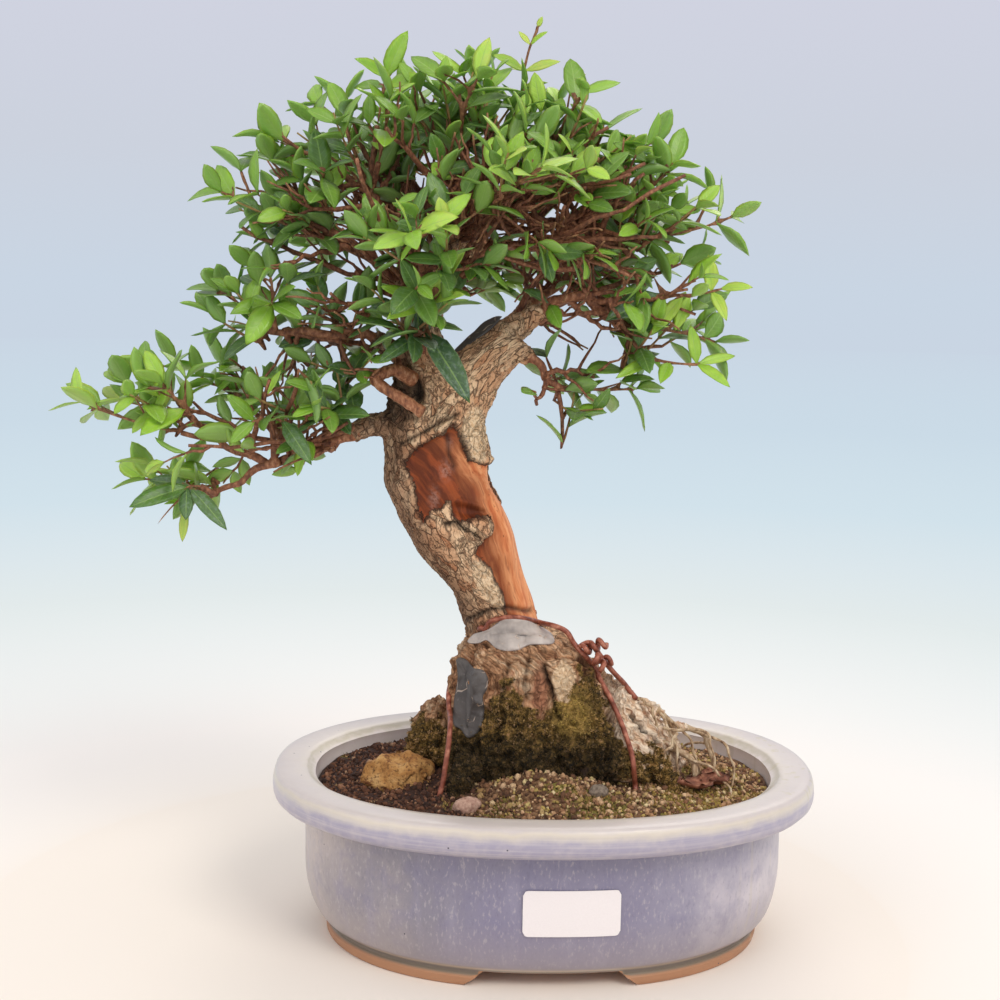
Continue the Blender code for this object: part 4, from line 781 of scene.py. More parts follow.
def glaze_finish(settings):
    finish = Finish("pot glaze", 0.32)
    band = finish.value("band")
    cloud = finish.noise(9, 4)
    speck = finish.noise(1.1, 3, 0.45)
    across = finish.axis("X")
    # Painted light across the body: a pale sheen at the left end, darker just inside it, then lighter towards
    # the right where the light falls, up to a pale sheen at the right end.
    side = across + finish.noise(38, 3).sway(0.02)
    body = finish.ramp(
        side.span(SHIFT.x - 0.105, SHIFT.x + 0.105),
        (0.0, 184, 172, 168), (0.08, 168, 158, 158), (0.22, 136, 131, 142), (0.4, settings.body_colour),
        (0.62, settings.body_colour), (0.8, 152, 147, 164), (0.93, 196, 188, 194), (1.0, 222, 212, 210),
    )
    body = finish.cover(
        body,
        (finish.noise(7, 4, 0.16).span(0.52, 0.75, 0.0, 0.3), (170, 164, 182)),
        (cloud.span(0.5, 0.36, 0.0, 0.3), (122, 118, 148)),
        (speck.span(0.56, 0.7, 0.0, 0.4), (198, 188, 188)),
        (speck.span(0.42, 0.3, 0.0, 0.3), (108, 103, 126)),
        (finish.axis("Z").span(0.028, 0.008, 0.0, 0.6), (160, 148, 146)),
    )
    # The brightest cream stops, 0.735 to 0.785, paint a highlight along the lip's rounded top edge over its
    # cream glaze.
    rim = finish.ramp(
        band + cloud.sway(0.01),
        (0.5, 148, 142, 158), (0.56, 172, 162, 166), (0.578, 206, 194, 178), (0.6, 170, 162, 176),
        (0.66, 162, 155, 174), (0.71, 168, 161, 178), (0.735, 200, 190, 184), (0.76, 214, 202, 184),
        (0.785, 204, 193, 188), (0.85, 208, 197, 190), (0.885, 214, 203, 190), (0.9, 198, 188, 164),
        (0.92, 228, 216, 210), (0.96, 236, 225, 220), (1.0, 214, 203, 202),
    )
    lines = finish.noise(0.9, 2, place=finish.stretched(0.02, 0.02, 1.0))
    rim = finish.cover(
        rim,
        (lines.span(0.45, 0.65, 0.0, 0.25), (222, 212, 202)),
        (finish.noise(4, 5).span(0.45, 0.7, 0.0, 0.22), (222, 210, 200)),
    )
    low = finish.ramp(
        band,
        (0.0, settings.clay_colour), (0.085, settings.clay_colour), (0.1, 132, 118, 100),
        (0.14, 116, 108, 102), (0.16, 190, 172, 152), (0.185, 160, 148, 148), (0.21, 152, 144, 154),
    )
    edge = band + cloud.sway(0.008)
    drips = finish.noise(5, 2, 0.1).span(0.6, 0.68, 0.0, 0.45)
    drips = drips * across.span(SHIFT.x + 0.07, SHIFT.x + 0.1)
    pits = finish.cells(5.5).span(0.07, 0.05) * finish.patches(5.5).span(0.9, 0.91)
    layers = (edge.span(0.18, 0.21), body), (edge.span(0.535, 0.56), rim)
    shade = finish.cover(low, *layers, (drips, (196, 184, 146)), (pits, (70, 66, 80)))
    relief = finish.bump(speck, 0.06, 0.6, finish.bump(finish.noise(6, 3), 0.35, 0.5))
    relief = finish.bump(1.0 - pits, 0.3, 0.6, relief)
    rough = band.span(0.085, 0.1, 0.85, 0.34) + cloud.span(0.3, 0.7, -0.05, 0.08)
    return finish.done(shade, relief, Roughness=rough, Coat_Weight=0.25, Coat_Roughness=0.25)


def bark_finish(settings):
    """Flaking bark, bare wood, moss and rot, with painted light and shade, by the numbers written on the
    wood.
    """
    finish = Finish("trunk bark", 0.85)
    moss, pale, dark, old, flank = finish.values("moss", "pale", "dark", "old", "flank")
    lie = finish.vector("lie")
    bent = finish.warped(lie, 7, 2.4)
    flakes = finish.stretched(1, 1, 0.55, place=bent)
    fine = finish.noise(1.3, 5)
    wide = finish.noise(14, 3)
    fibre = finish.noise(1.6, 4, 0.16, bent)
    clods = finish.noise(2.8, 5, 0.5, bent, 0.62)
    tone = finish.patches(3.6, flakes)
    seam = abs(finish.noise(4.6, 4, 0.3, bent, 0.62) - 0.5).span(0.02, 0.003)
    hair = abs(finish.noise(2.6, 3, 0.5, bent) - 0.52).span(0.016, 0.003)
    edges = finish.cracks(3.6, flakes).span(0.06, 0.012) * finish.noise(3.4, 2, place=lie).span(0.4, 0.5)
    cut = (seam * 0.8).most((hair * 0.6).most(edges) * 0.85) * pale.most(flank).span(0.0, 1.0, 1.0, 0.6)
    mixed = tone * 0.3 + wide * 0.7
    young = finish.ramp(
        mixed,
        (0.24, 178, 116, 78), (0.38, 210, 158, 118), (0.5, settings.bark_colour), (0.62, 238, 202, 162),
        (0.8, 208, 146, 102),
    )
    # The grey ramp is painted shade, laid on the trunk's left side where 'left' is marked.
    grey = finish.ramp(mixed, (0.28, 92, 66, 48), (0.5, 130, 98, 74), (0.72, 168, 136, 108))
    young = finish.cover(
        young,
        (fibre.span(0.46, 0.34, 0.0, 0.4), (140, 88, 58)),
        (fine.span(0.56, 0.72, 0.0, 0.35), (236, 206, 172)),
        (finish.value("left") * 0.8, grey),
    )
    rugged = finish.ramp(
        clods * 0.65 + wide * 0.35,
        (0.34, 84, 54, 34), (0.43, 146, 102, 70), (0.52, 192, 146, 108), (0.64, 232, 200, 164),
    )
    rugged = finish.cover(
        rugged,
        (flank, finish.ramp(fibre, (0.32, 162, 118, 88), (0.43, 220, 184, 150), (0.56, 250, 228, 200))),
        (finish.noise(4, 3).span(0.54, 0.68, 0.0, 0.45), (138, 78, 50)),
        (finish.value("nodules"), finish.blend(fine, (112, 64, 44), (206, 146, 110))),
    )
    flow = finish.warped(finish.vector("flow"), 9, 1.6)
    grain = finish.noise(2.4, 5, 0.07, flow)
    threads = finish.noise(0.9, 3, 0.08, flow)
    # The bright ramp is painted light, laid on the bare wood where 'light' is marked.
    bright = finish.ramp(grain, (0.3, 196, 100, 54), (0.46, 224, 138, 86), (0.62, 244, 172, 118))
    wood = finish.cover(
        finish.ramp(grain, (0.3, 82, 32, 10), (0.46, settings.wood_colour), (0.64, 148, 70, 28)),
        (finish.value("light"), bright),
        (threads.span(0.44, 0.3, 0.0, 0.5), (120, 52, 28)),
        (finish.noise(5.5, 3, 0.3, flow).span(0.58, 0.68, 0.0, 0.6) * 0.8, (166, 78, 36)),
        (finish.noise(1.5, 2, 0.5, flow).span(0.3, 0.24, 0.0, 0.8), (84, 40, 28)),
        # painted gloss highlights
        (finish.value("painted_gloss") * fine.span(0.35, 0.6) * 0.45, (206, 160, 142)),
    )
    green = finish.ramp(
        finish.noise(2.2, 4),
        (0.34, 52, 38, 18), (0.46, 96, 74, 34), (0.57, 142, 110, 56), (0.7, 186, 142, 96),
    )
    green = finish.cover(
        green,
        (finish.value("bright"), finish.blend(fine, (128, 98, 46), (196, 162, 92))),
        # Painted shade on the moss where 'dark' is marked.
        (dark * 0.75, (24, 20, 8)),
    )
    depth = finish.value("depth") + fine.sway(0.7)
    bare = depth.span(-0.1, 0.15)
    shade = finish.cover(
        young,
        (old, rugged),
        (pale * 0.85, finish.blend(fine.span(0.38, 0.6), (218, 180, 138), (248, 220, 182))),
        (cut * old.span(0.0, 1.0, 0.86, 0.25), (74, 46, 30)),
        (bare, wood),
        # Painted shadow along the bark's lip round the bare wood.
        (depth.span(-1.6, -0.5) * depth.span(0.35, 0.0) * 0.8, (58, 30, 20)),
        # Painted shade where 'dark' is marked: hole, grooves, clefts, crease, under the ridge, the trunk's
        # foot and the stump's base.
        (dark, (26, 16, 11)),
        ((moss + fine.sway(0.3)).span(0.42, 0.72), green),
    )
    grained = fibre * (1.0 - old) + clods * (old * 2.0)
    height = (tone - cut * 1.6) * 0.5 + (grained + fine) * 0.45
    height = height * bare.span(0.0, 1.0, 1.0, 0.0) + (grain + threads) * 0.16
    rough = bare.span(0.0, 1.0, 0.9, 0.66)
    return finish.done(shade, finish.bump(height, 1.3, 0.9), Roughness=rough, Specular_IOR_Level=0.3)


def twig_finish(settings):
    finish = Finish("twig bark", 0.7)
    fine = finish.noise(1.6, 4, 0.6)
    thick = (0.3, 96, 54, 34), (0.48, 154, 96, 62), (0.6, 182, 126, 88), (0.74, 198, 160, 128)
    shade = finish.cover(
        finish.ramp(fine, (0.3, 90, 52, 36), (0.5, settings.twig_colour), (0.72, 184, 126, 90)),
        (finish.value("girth").span(1.5, 2.6), finish.ramp(fine, *thick)),
        (finish.value("young").span(0.45, 0.95), finish.blend(fine, (150, 96, 58), (186, 172, 100))),
    )
    return finish.done(shade, finish.bump(fine, 0.5, 0.9))


def even_finish(name, roughness, noise_settings, depth, strength, *stops):
    """A finish with one noise, which gives both its colours and its relief."""
    finish = Finish(name, roughness)
    fine = finish.noise(*noise_settings)
    return finish.done(finish.ramp(fine, *stops), finish.bump(fine, depth, strength))


def root_finish():
    stops = (0.3, 110, 80, 56), (0.46, 176, 146, 112), (0.6, 204, 180, 146), (0.74, 222, 204, 172)
    return even_finish("pale roots", 0.75, (1.8, 4, 0.5), 0.3, 0.7, *stops)


def leaf_finish(settings):
    """Leaves from grey-green to yellow-green, with grey patches and pale edges on old leaves, midrib, veins
    and pale undersides.
    """
    finish = Finish("myrtle leaf", 0.4)
    age, tone, along, under = finish.values("age", "tone", "along", "under")
    across = abs(finish.value("across"))
    rib = across.span(0.09, 0.03, 0.0, 0.5)
    vein = (along * 46.0 - across * 9.0).sine().span(0.55, 1.0)
    shade = finish.ramp(
        age + finish.noise(5, 3).sway(0.07),
        (0.0, settings.old_colour), (0.25, 90, 126, 50), (0.48, settings.grown_colour),
        (0.72, 152, 194, 58), (0.9, settings.young_colour), (1.0, 198, 214, 96),
    )
    shade = finish.cover(
        shade,
        (tone.span(0.0, 0.5, 0.3, 0.0), (48, 74, 44)),
        (tone.span(0.6, 1.0, 0.0, 0.2), (150, 186, 90)),
        (vein * 0.1, (160, 196, 120)),
        (rib, (158, 190, 100)),
        # grey patches and pale edges on old leaves
        (across.span(0.88, 1.0) * age.span(0.5, 0.1, 0.0, 0.35), (150, 172, 130)),
        (finish.noise(1.7, 5).span(0.5, 0.66) * age.span(0.4, 0.05, 0.0, 0.4), (140, 156, 142)),
        (under.span(0.2, 0.3, 0.0, 0.6), (140, 172, 94)),
    )
    relief = finish.bump(vein * -0.35 - rib, 0.25, 0.5)
    inside = {"Subsurface_Weight": 0.22, "Subsurface_Radius": (0.6, 1.0, 0.15), "Subsurface_Scale": 0.0012}
    return finish.done(shade, relief, Roughness=age.span(0.0, 0.6, 0.42, 0.34), **inside)


def soil_finish(settings):
    finish = Finish("soil", 0.95)
    fine = finish.noise(1.6, 5)
    side = finish.axis("X") + finish.noise(16, 4).sway(0.02)
    right = finish.ramp(fine, (0.3, 56, 36, 24), (0.5, 112, 80, 54), (0.7, 158, 122, 88))
    green = finish.blend(fine, (76, 68, 26), (152, 138, 66))
    shade = finish.cover(
        finish.blend(fine, (28, 16, 12), settings.soil_colour),
        (side.span(SHIFT.x - 0.045, SHIFT.x - 0.01), right),
        ((finish.value("moss") + fine.sway(0.3)).span(0.45, 0.7), green),
    )
    return finish.done(shade, finish.bump(fine, 1.2))


def grain_finish():
    finish = Finish("soil granules", 0.92)
    tone = finish.value("tone")
    fine = finish.noise(1.2, 4)
    left = finish.ramp(
        tone,
        (0.0, 46, 25, 16), (0.4, 80, 47, 30), (0.75, 112, 71, 48), (0.95, 150, 106, 78), (1.0, 184, 146, 114),
    )
    right = finish.ramp(
        tone,
        (0.0, 74, 48, 32), (0.3, 138, 96, 66), (0.55, 188, 146, 106), (0.72, 226, 190, 150),
        (0.8, 164, 138, 76), (0.9, 190, 164, 94), (1.0, 230, 208, 160),
    )
    shade = finish.cover(left, (finish.value("side"), right), (fine.span(0.52, 0.34, 0.0, 0.6), (40, 25, 17)))
    return finish.done(shade, finish.bump(fine, 0.6, 0.9))


def moss_finish():
    finish = Finish("moss", 0.95)
    tone = finish.value("tone")
    shade = finish.ramp(
        tone,
        (0.0, 54, 42, 20), (0.35, 98, 78, 34), (0.6, 138, 108, 50), (0.8, 178, 142, 80), (1.0, 206, 164, 122),
    )
    shade = finish.cover(
        shade,
        (finish.value("bright"), finish.blend(tone, (124, 98, 40), (200, 168, 86))),
        (finish.value("along").span(0.5, 0.0, 0.0, 0.7), (38, 32, 14)),
        # Painted shade on tufts that stand where the wood is marked 'dark'.
        (finish.value("dark") * 0.8, (20, 16, 8)),
    )
    return finish.done(shade)


def wire_finish():
    finish = Finish("copper brown wire", 0.4)
    worn = finish.noise(3, 4)
    shade = finish.ramp(worn, (0.35, 116, 58, 42), (0.55, 158, 90, 68), (0.75, 204, 142, 114))
    relief = finish.bump(finish.noise(0.8, 3), 0.1, 0.4)
    return finish.done(shade, relief, Roughness=worn.span(0.4, 0.7, 0.34, 0.55), Metallic=0.25)


def paste_finish(name, painted_shade):
    finish = Finish(name, 0.62)
    fine = finish.noise(0.9, 4)
    lines = finish.cracks(11, finish.warped(finish.place, 6, 2.5)).span(0.03, 0.012)
    split = lines * finish.noise(9, 1).span(0.56, 0.6)
    shade = finish.cover(
        finish.ramp(finish.noise(8, 3), (0.3, 158, 148, 141), (0.5, 186, 174, 165), (0.7, 206, 194, 184)),
        # painted shade on paste that lies out of the light
        (painted_shade, (42, 38, 38)),
        (split * 0.7, (206, 184, 166)),
        (fine.span(0.6, 0.74, 0.0, 0.3), (170, 160, 154)),
    )
    relief = finish.bump(finish.noise(5, 2), 0.7, 0.6, finish.bump(1.0 - split, 0.4, 0.7))
    return finish.done(shade, finish.bump(fine, 0.12, 0.5, relief))


def paper_finish():
    finish = Finish("label paper", 0.55)
    fibre = finish.noise(0.6, 4)
    return finish.done(finish.blend(fibre, (236, 228, 226), (245, 238, 236)), finish.bump(fibre, 0.02, 0.5))


def ochre_finish():
    finish = Finish("ochre stone", 0.85)
    fine = finish.noise(1.2, 5)
    veins = finish.noise(7, 6, place=finish.stretched(1, 0.7, 1.5), rough=0.7).span(0.53, 0.62, 0.0, 0.8)
    shade = finish.ramp(
        finish.noise(9, 5),
        (0.3, 116, 72, 32), (0.45, 172, 120, 62), (0.58, 196, 148, 88), (0.72, 216, 178, 122),
    )
    shade = finish.cover(shade, (veins, (112, 58, 26)), (fine.span(0.46, 0.34, 0.0, 0.7), (84, 48, 24)))
    return finish.done(shade, finish.bump(fine + finish.noise(4, 4), 1.2))


def pebble_finish(name, dark, light):
    return even_finish(name, 0.8, (1.4, 5), 0.4, 0.8, (0.3, *dark), (0.7, *light))


def dry_leaf_finish():
    finish = Finish("dry leaf", 0.7)
    shade = finish.ramp(finish.noise(4, 4), (0.3, 78, 42, 30), (0.5, 140, 86, 64), (0.7, 192, 134, 104))
    rib = abs(finish.value("across")).span(0.12, 0.04, 0.0, 0.5)
    return finish.done(finish.blend(rib, shade, (204, 152, 118)), finish.bump(finish.noise(1.5, 4), 0.5, 0.8))


def screen_finish():
    finish = Finish("drain mesh plastic", 0.55)
    worn = finish.noise(3, 3)
    return finish.done(finish.blend(worn, (28, 28, 30), (52, 50, 50)), finish.bump(worn, 0.2, 0.5))


def floor_finish(settings):
    """Lit near the pot; farther off it holds the even colour of a curved backdrop."""
    finish = Finish("pale floor", 0.95)
    away = finish.number("ShaderNodeVectorMath", {0: finish.place}, "Value", operation="LENGTH")
    shade = finish.ramp(
        away.span(0.2, 8.0) ** 0.4,
        (0.0, settings.near_colour), (0.19, 246, 241, 234), (0.25, 238, 239, 235), (0.34, 228, 235, 235),
        (0.4, 220, 231, 236), (0.47, 210, 226, 235), (0.62, 203, 219, 231), (1.0, settings.far_colour),
    )
    lit = away.span(0.3, 0.75, 1.0, 0.0)
    ends = {"Emission_Color": shade, "Emission_Strength": 1.0 - lit, "Specular_IOR_Level": 0.0}
    return finish.done(finish.blend(lit, (0, 0, 0), shade), **ends)


# Geometry Nodes


class Tree(Nodes):
    """One Geometry Nodes tree while its nodes are laid out."""

    def __init__(self, name, inputs):
        super().__init__(bpy.data.node_groups.new(name, "GeometryNodeTree"))
        face = self.tree.interface
        face.new_socket("Geometry", in_out="INPUT", socket_type="NodeSocketGeometry")
        for label, kind in inputs:
            face.new_socket(label, in_out="INPUT", socket_type="NodeSocket" + kind)
        face.new_socket("Geometry", in_out="OUTPUT", socket_type="NodeSocketGeometry")
        self.given = self.node("NodeGroupInput").outputs
        self.result = self.node("NodeGroupOutput").inputs[0]

    def named(self, name, kind="FLOAT"):
        return self.out("GeometryNodeInputNamedAttribute", {"Name": name}, "Attribute", data_type=kind)

    def random(self, low, high, seed, kind="FLOAT"):
        made = self.node("FunctionNodeRandomValue", {"Seed": seed}, data_type=kind)
        for socket, value in zip([s for s in made.inputs if s.enabled], (low, high)):
            self.feed(socket, value)
        return next(s for s in made.outputs if s.enabled)

    def copies(self, points, shapes, turn, size):
        """One shape of the collection given under this name on each point."""
        inputs = {"Collection": self.given[shapes], "Separate Children": True, "Reset Children": True}
        shape = self.out("GeometryNodeCollectionInfo", inputs)
        inputs = {"Points": points, "Instance": shape, "Pick Instance": True, "Rotation": turn, "Scale": size}
        return self.node("GeometryNodeInstanceOnPoints", inputs)

    def finish(self, geometry):
        """Ends the tree: instances made real, with the finish set."""
        real = self.out("GeometryNodeRealizeInstances", {"Geometry": geometry})
        last = self.out("GeometryNodeSetMaterial", {"Geometry": real, "Material": self.given["Finish"]})
        self.feed(self.result, last)
        return self.tree


def apply_tree(obj, group, **inputs):
    """Runs the tree on the object with these inputs, and keeps the result as its mesh."""
    modifier = obj.modifiers.new(group.name, "NODES")
    modifier.node_group = group
    for item in group.interface.items_tree:
        if item.in_out == "INPUT" and item.name in inputs:
            modifier[item.identifier] = inputs[item.name]
    return bake(obj)


def scatter(obj, tree, shapes, count, least, most, finish, slot):
    """Strews the collection's shapes over the object, which becomes a piece of its own."""
    sizes = {"Count per area": count, "Smallest": least, "Largest": most}
    apply_tree(obj, tree, **sizes, Shapes=shapes, Finish=finish)
    finish_piece(obj, slot)


def leaf_tree():
    """Sets a leaf on each point by its turn, size and kind."""
    tree = Tree("leaves on stems", (("Leaf shapes", "Collection"), ("Size", "Float"), ("Finish", "Material")))
    turn = tree.out("FunctionNodeEulerToRotation", {"Euler": tree.named("turn", "FLOAT_VECTOR")})
    inputs = {0: tree.named("size", "FLOAT_VECTOR"), "Scale": tree.given["Size"]}
    size = tree.out("ShaderNodeVectorMath", inputs, operation="SCALE")
    leaves = tree.copies(tree.given["Geometry"], "Leaf shapes", turn, size)
    tree.feed(leaves.inputs["Instance Index"], tree.named("kind", "INT"))
    return tree.finish(leaves.outputs[0])


def scatter_tree(name, upright, rise):
    """Scatters small shapes over a surface where its own numbers ask for them."""
    sockets = [("Shapes", "Collection"), ("Count per area", "Float"), ("Smallest", "Float")]
    tree = Tree(name, [*sockets, ("Largest", "Float"), ("Finish", "Material")])
    inputs = {0: tree.named("often"), 1: tree.given["Count per area"]}
    often = tree.out("ShaderNodeMath", inputs, operation="MULTIPLY")
    inputs = {"Mesh": tree.given["Geometry"], "Density": often, "Seed": 7}
    spread = tree.node("GeometryNodeDistributePointsOnFaces", inputs).outputs
    least, most = ((-0.35, -0.35, 0.0), (0.35, 0.35, 6.28)) if upright else ((0.0,) * 3, (6.28,) * 3)
    turn = tree.out("FunctionNodeEulerToRotation", {"Euler": tree.random(least, most, 3, "FLOAT_VECTOR")})
    if upright:
        inputs = {"Rotation": spread["Rotation"], "Rotate By": turn}
        turn = tree.out("FunctionNodeRotateRotation", inputs, rotation_space="LOCAL")
    lift = tree.out("ShaderNodeCombineXYZ", {"Z": rise * MM})
    points = tree.out("GeometryNodeSetPosition", {"Geometry": spread["Points"], "Offset": lift})
    size = tree.random(tree.given["Smallest"], tree.given["Largest"], 5)
    bits = tree.copies(points, "Shapes", turn, size).outputs[0]
    inputs = {"Geometry": bits, "Name": "tone", "Value": tree.random(0.0, 1.0, 11)}
    kinds = {"data_type": "FLOAT", "domain": "INSTANCE"}
    return tree.finish(tree.out("GeometryNodeStoreNamedAttribute", inputs, **kinds))


def shape_collection(name, shapes):
    """A collection of small model shapes, kept out of the scene."""
    group = bpy.data.collections.new(name)
    for i, ((points, faces), values) in enumerate(shapes):
        mesh = bpy.data.meshes.new(f"{name} {i}")
        mesh.from_pydata(points, [], faces)
        mesh.shade_smooth()
        for key, numbers in values.items():
            write_values(mesh, key, numbers)
        group.objects.link(bpy.data.objects.new(f"{name} {i}", mesh))
    return group


def discard(group):
    for obj in list(group.objects):
        remove(obj)
    bpy.data.collections.remove(group)


# Pot


def outer_half(z):
    low = FOOT_HEIGHT + 1.0
    t = min(1.0, max(0.0, (z - low) / BODY_ROUNDING))
    bulge = math.sqrt(1 - (1 - t) ** 2)
    return tuple(mix(foot, body, bulge) for foot, body in zip(FOOT_HALF, BODY_HALF))


def inner_half(z):
    t = (z - FLOOR_TOP) / (POT_HEIGHT - FLOOR_TOP)
    return tuple(mix(low, high, t**0.7) for low, high in zip(INNER_FLOOR_HALF, INNER_TOP_HALF))


def pot_rows():
    """The pot's section from under its floor, round the foot, up the wall, over the rim and in."""
    foot_in = [half - FOOT_WIDTH for half in FOOT_HALF]
    rows = [(foot_in[0] - 1, foot_in[1] - 1, FOOT_HEIGHT, 0.0)]
    rows += [(foot_in[0], foot_in[1], 0.5, 0.01), (foot_in[0] + 0.5, foot_in[1] + 0.5, 0.0, 0.02)]
    foot = ((-0.6, 0.0, 0.03), (0.0, 0.5, 0.04), (0.6, 2.2, 0.06), (0.8, 3.7, 0.08), (0.3, 4.3, 0.09))
    foot += ((-0.6, 4.9, 0.11), (-0.4, 6.4, 0.14))
    rows += [(FOOT_HALF[0] + out, FOOT_HALF[1] + out, z, band) for out, z, band in foot]
    for i in range(26):
        share = i / 25
        z = mix(FOOT_HEIGHT + 1.2, 51.0, share**1.6)
        rows.append((*outer_half(z), z, mix(0.16, 0.48, share)))
    reach = [rim - body for rim, body in zip(RIM_HALF, BODY_HALF)]
    for share, z, band in RIM_SECTION:
        rows.append((*[body + r * share for body, r in zip(BODY_HALF, reach)], z, band))
    for out, z, band in ((0.9, 69.6, 0.885), (0.3, 69.1, 0.895), (-1.4, 67.9, 0.905), (-2.9, 67.0, 0.915)):
        rows.append((100.0 + out, 75.0 + out, z, band))
    for z, band in ((65.0, 0.93), (62.5, 0.95), (60.0, 0.97), (50.0, 0.98), (36.0, 0.99), (FLOOR_TOP, 1.0)):
        rows.append((*inner_half(z), z, band))
    return rows


def hand_thrown(x, y, z):
    """How far the thrown wall stands from its true oval."""
    return 0.28 * noise.noise(Vector((x, y, z * 1.4)) / 34) + 0.1 * noise.noise(Vector((x, y, z)) / 9)


def build_pot(settings):
    rings, bands = [], []
    rows = pot_rows()
    for i, (half_x, half_y, z, band) in enumerate(rows):
        ring = oval(half_x, half_y, z, settings.sides)
        if 4 < i < len(rows) - 4:
            for p in ring:
                out = Vector((p.x, p.y, 0)).normalized()
                p += out * min(-0.03, hand_thrown(p.x, p.y, p.z) - 0.3)
        rings.append(ring)
        bands += [band] * settings.sides
    pot = make_object("glazed_pot", loft(rings), glaze_finish(settings), {"band": bands})
    cutters = []
    top = FOOT_HEIGHT - 0.2
    for side in (-1, 1):
        near, far = side * (FOOT_HALF[1] - FOOT_WIDTH - 8), side * (FOOT_HALF[1] + 6)
        ends = []
        for z, half in zip((-1.0, top), NOTCH_HALF_WIDTHS):
            corners = ((-half, near), (half, near), (half, far), (-half, far))
            ends.append([Vector((x, y, z)) for x, y in corners])
        cutters.append(loft(ends))
    for x in (-DRAIN_X, DRAIN_X):
        bar = ((x, 0, FOOT_HEIGHT - 2), (x, 0, FLOOR_TOP + 2))
        cutters.append(tube(bar, (DRAIN_RADIUS, DRAIN_RADIUS), 40))
    cutter = make_object("cuts", joined(cutters))
    face_outwards(cutter)
    face_outwards(pot)
    cut = pot.modifiers.new("feet and drains", "BOOLEAN")
    cut.operation = "DIFFERENCE"
    cut.solver = "EXACT"
    cut.use_self = True
    cut.object = cutter
    bake(pot)
    remove(cutter)
    pot.data.shade_smooth()
    pot.data.set_sharp_from_angle(angle=math.radians(42))
    finish_piece(pot, "glaze", "pot")


def build_label():
    """Blank paper with rounded corners, bent to the wall that it is stuck on."""
    half_w, half_h = LABEL_SIZE[0] / 2, LABEL_SIZE[1] / 2
    corners = ((0, 1), (0, 0.33), (0, -0.33), (0, -1), (1, -1), (1, -0.33), (1, 0.33), (1, 1))
    rings = []
    for x in taper(-half_w, half_w, 40):
        inset = max(0.0, abs(x) - (half_w - LABEL_CORNER))
        high = half_h - LABEL_CORNER + math.sqrt(max(0.0, LABEL_CORNER**2 - inset**2))
        ring = []
        for outward, share in corners:
            at_x, at_z = LABEL_CENTRE[0] + x, LABEL_CENTRE[1] + share * high
            half = outer_half(at_z)
            wall = half[1] * (1 - (abs(at_x) / half[0]) ** OVAL_POWER) ** (1 / OVAL_POWER)
            ring.append(Vector((at_x, -(wall + 0.12 + outward * LABEL_THICKNESS), at_z)))
        rings.append(ring)
    label = make_object("blank_label", loft(rings), paper_finish())
    face_outwards(label)
    label.data.set_sharp_from_angle(angle=math.radians(40))
    finish_piece(label, "label", "label")


# Wood


def distance_to_line(x, z, line):
    """Least distance of each (x, z) from a drawn line."""
    best = np.full(len(x), 1e9)
    for (ax, az), (bx, bz) in zip(line, line[1:]):
        dx, dz = bx - ax, bz - az
        t = np.clip(((x - ax) * dx + (z - az) * dz) / (dx * dx + dz * dz), 0, 1)
        best = np.minimum(best, np.hypot(x - ax - t * dx, z - az - t * dz))
    return best


def along_line(x, z, line):
    """Signed distance right of a drawn line, and how far along it, for each (x, z)."""
    best = np.full(len(x), 1e9)
    side = np.zeros(len(x))
    along = np.zeros(len(x))
    run = 0.0
    for (ax, az), (bx, bz) in zip(line, line[1:]):
        dx, dz = bx - ax, bz - az
        long = math.hypot(dx, dz)
        t = ((x - ax) * dx + (z - az) * dz) / (long * long)
        held = np.clip(t, 0, 1)
        far = np.hypot(x - ax - held * dx, z - az - held * dz)
        nearer = far < best
        best = np.where(nearer, far, best)
        side = np.where(nearer, ((z - az) * dx - (x - ax) * dz) / long, side)
        along = np.where(nearer, run + t * long, along)
        run += long
    return side, along


def inside_outline(x, z, outline):
    """Distance inside an outline, negative outside it."""
    inside = np.zeros(len(x), dtype=bool)
    closed = [*outline, outline[0]]
    for (ax, az), (bx, bz) in zip(closed, closed[1:]):
        crosses = (az > z) != (bz > z)
        edge = (bx - ax) * (z - az) / (bz - az if bz != az else 1e-9) + ax
        inside ^= crosses & (x < edge)
    return np.where(inside, 1, -1) * distance_to_line(x, z, closed)


def in_blob(x, z, centre, half):
    return np.hypot((x - centre[0]) / half[0], (z - centre[1]) / half[1])


def wood_lie(places):
    """Places measured from the middle of the trunk or limb that they belong to."""
    lines = [[(x, y, z) for z, x, y, _, _ in TRUNK_ROWS]]
    lines += [[row[:3] for row in rows] for rows in LIMBS.values()]
    best = np.full(len(places), 1e9)
    lie = np.array(places)
    for line in lines:
        path = np.array(smooth_path(line, 4))
        middle = np.stack([np.interp(places[:, 2], path[:, 2], path[:, i]) for i in (0, 1)], axis=1)
        beyond = np.maximum(path[0, 2] - places[:, 2], 0) + np.maximum(places[:, 2] - path[-1, 2], 0)
        far = np.hypot(*(places[:, :2] - middle).T) + beyond * 2
        nearer = far < best
        best = np.where(nearer, far, best)
        lie[nearer, :2] = (places[:, :2] - middle)[nearer]
    upper = smooth_step(112.0, 126.0, places[:, 2])[:, None]
    return lie * upper + places * (1 - upper)


def vertex_rows(mesh, key):
    rows = np.empty(len(mesh.vertices) * 3, dtype=np.float32)
    mesh.vertices.foreach_get(key, rows)
    return rows.reshape(-1, 3)


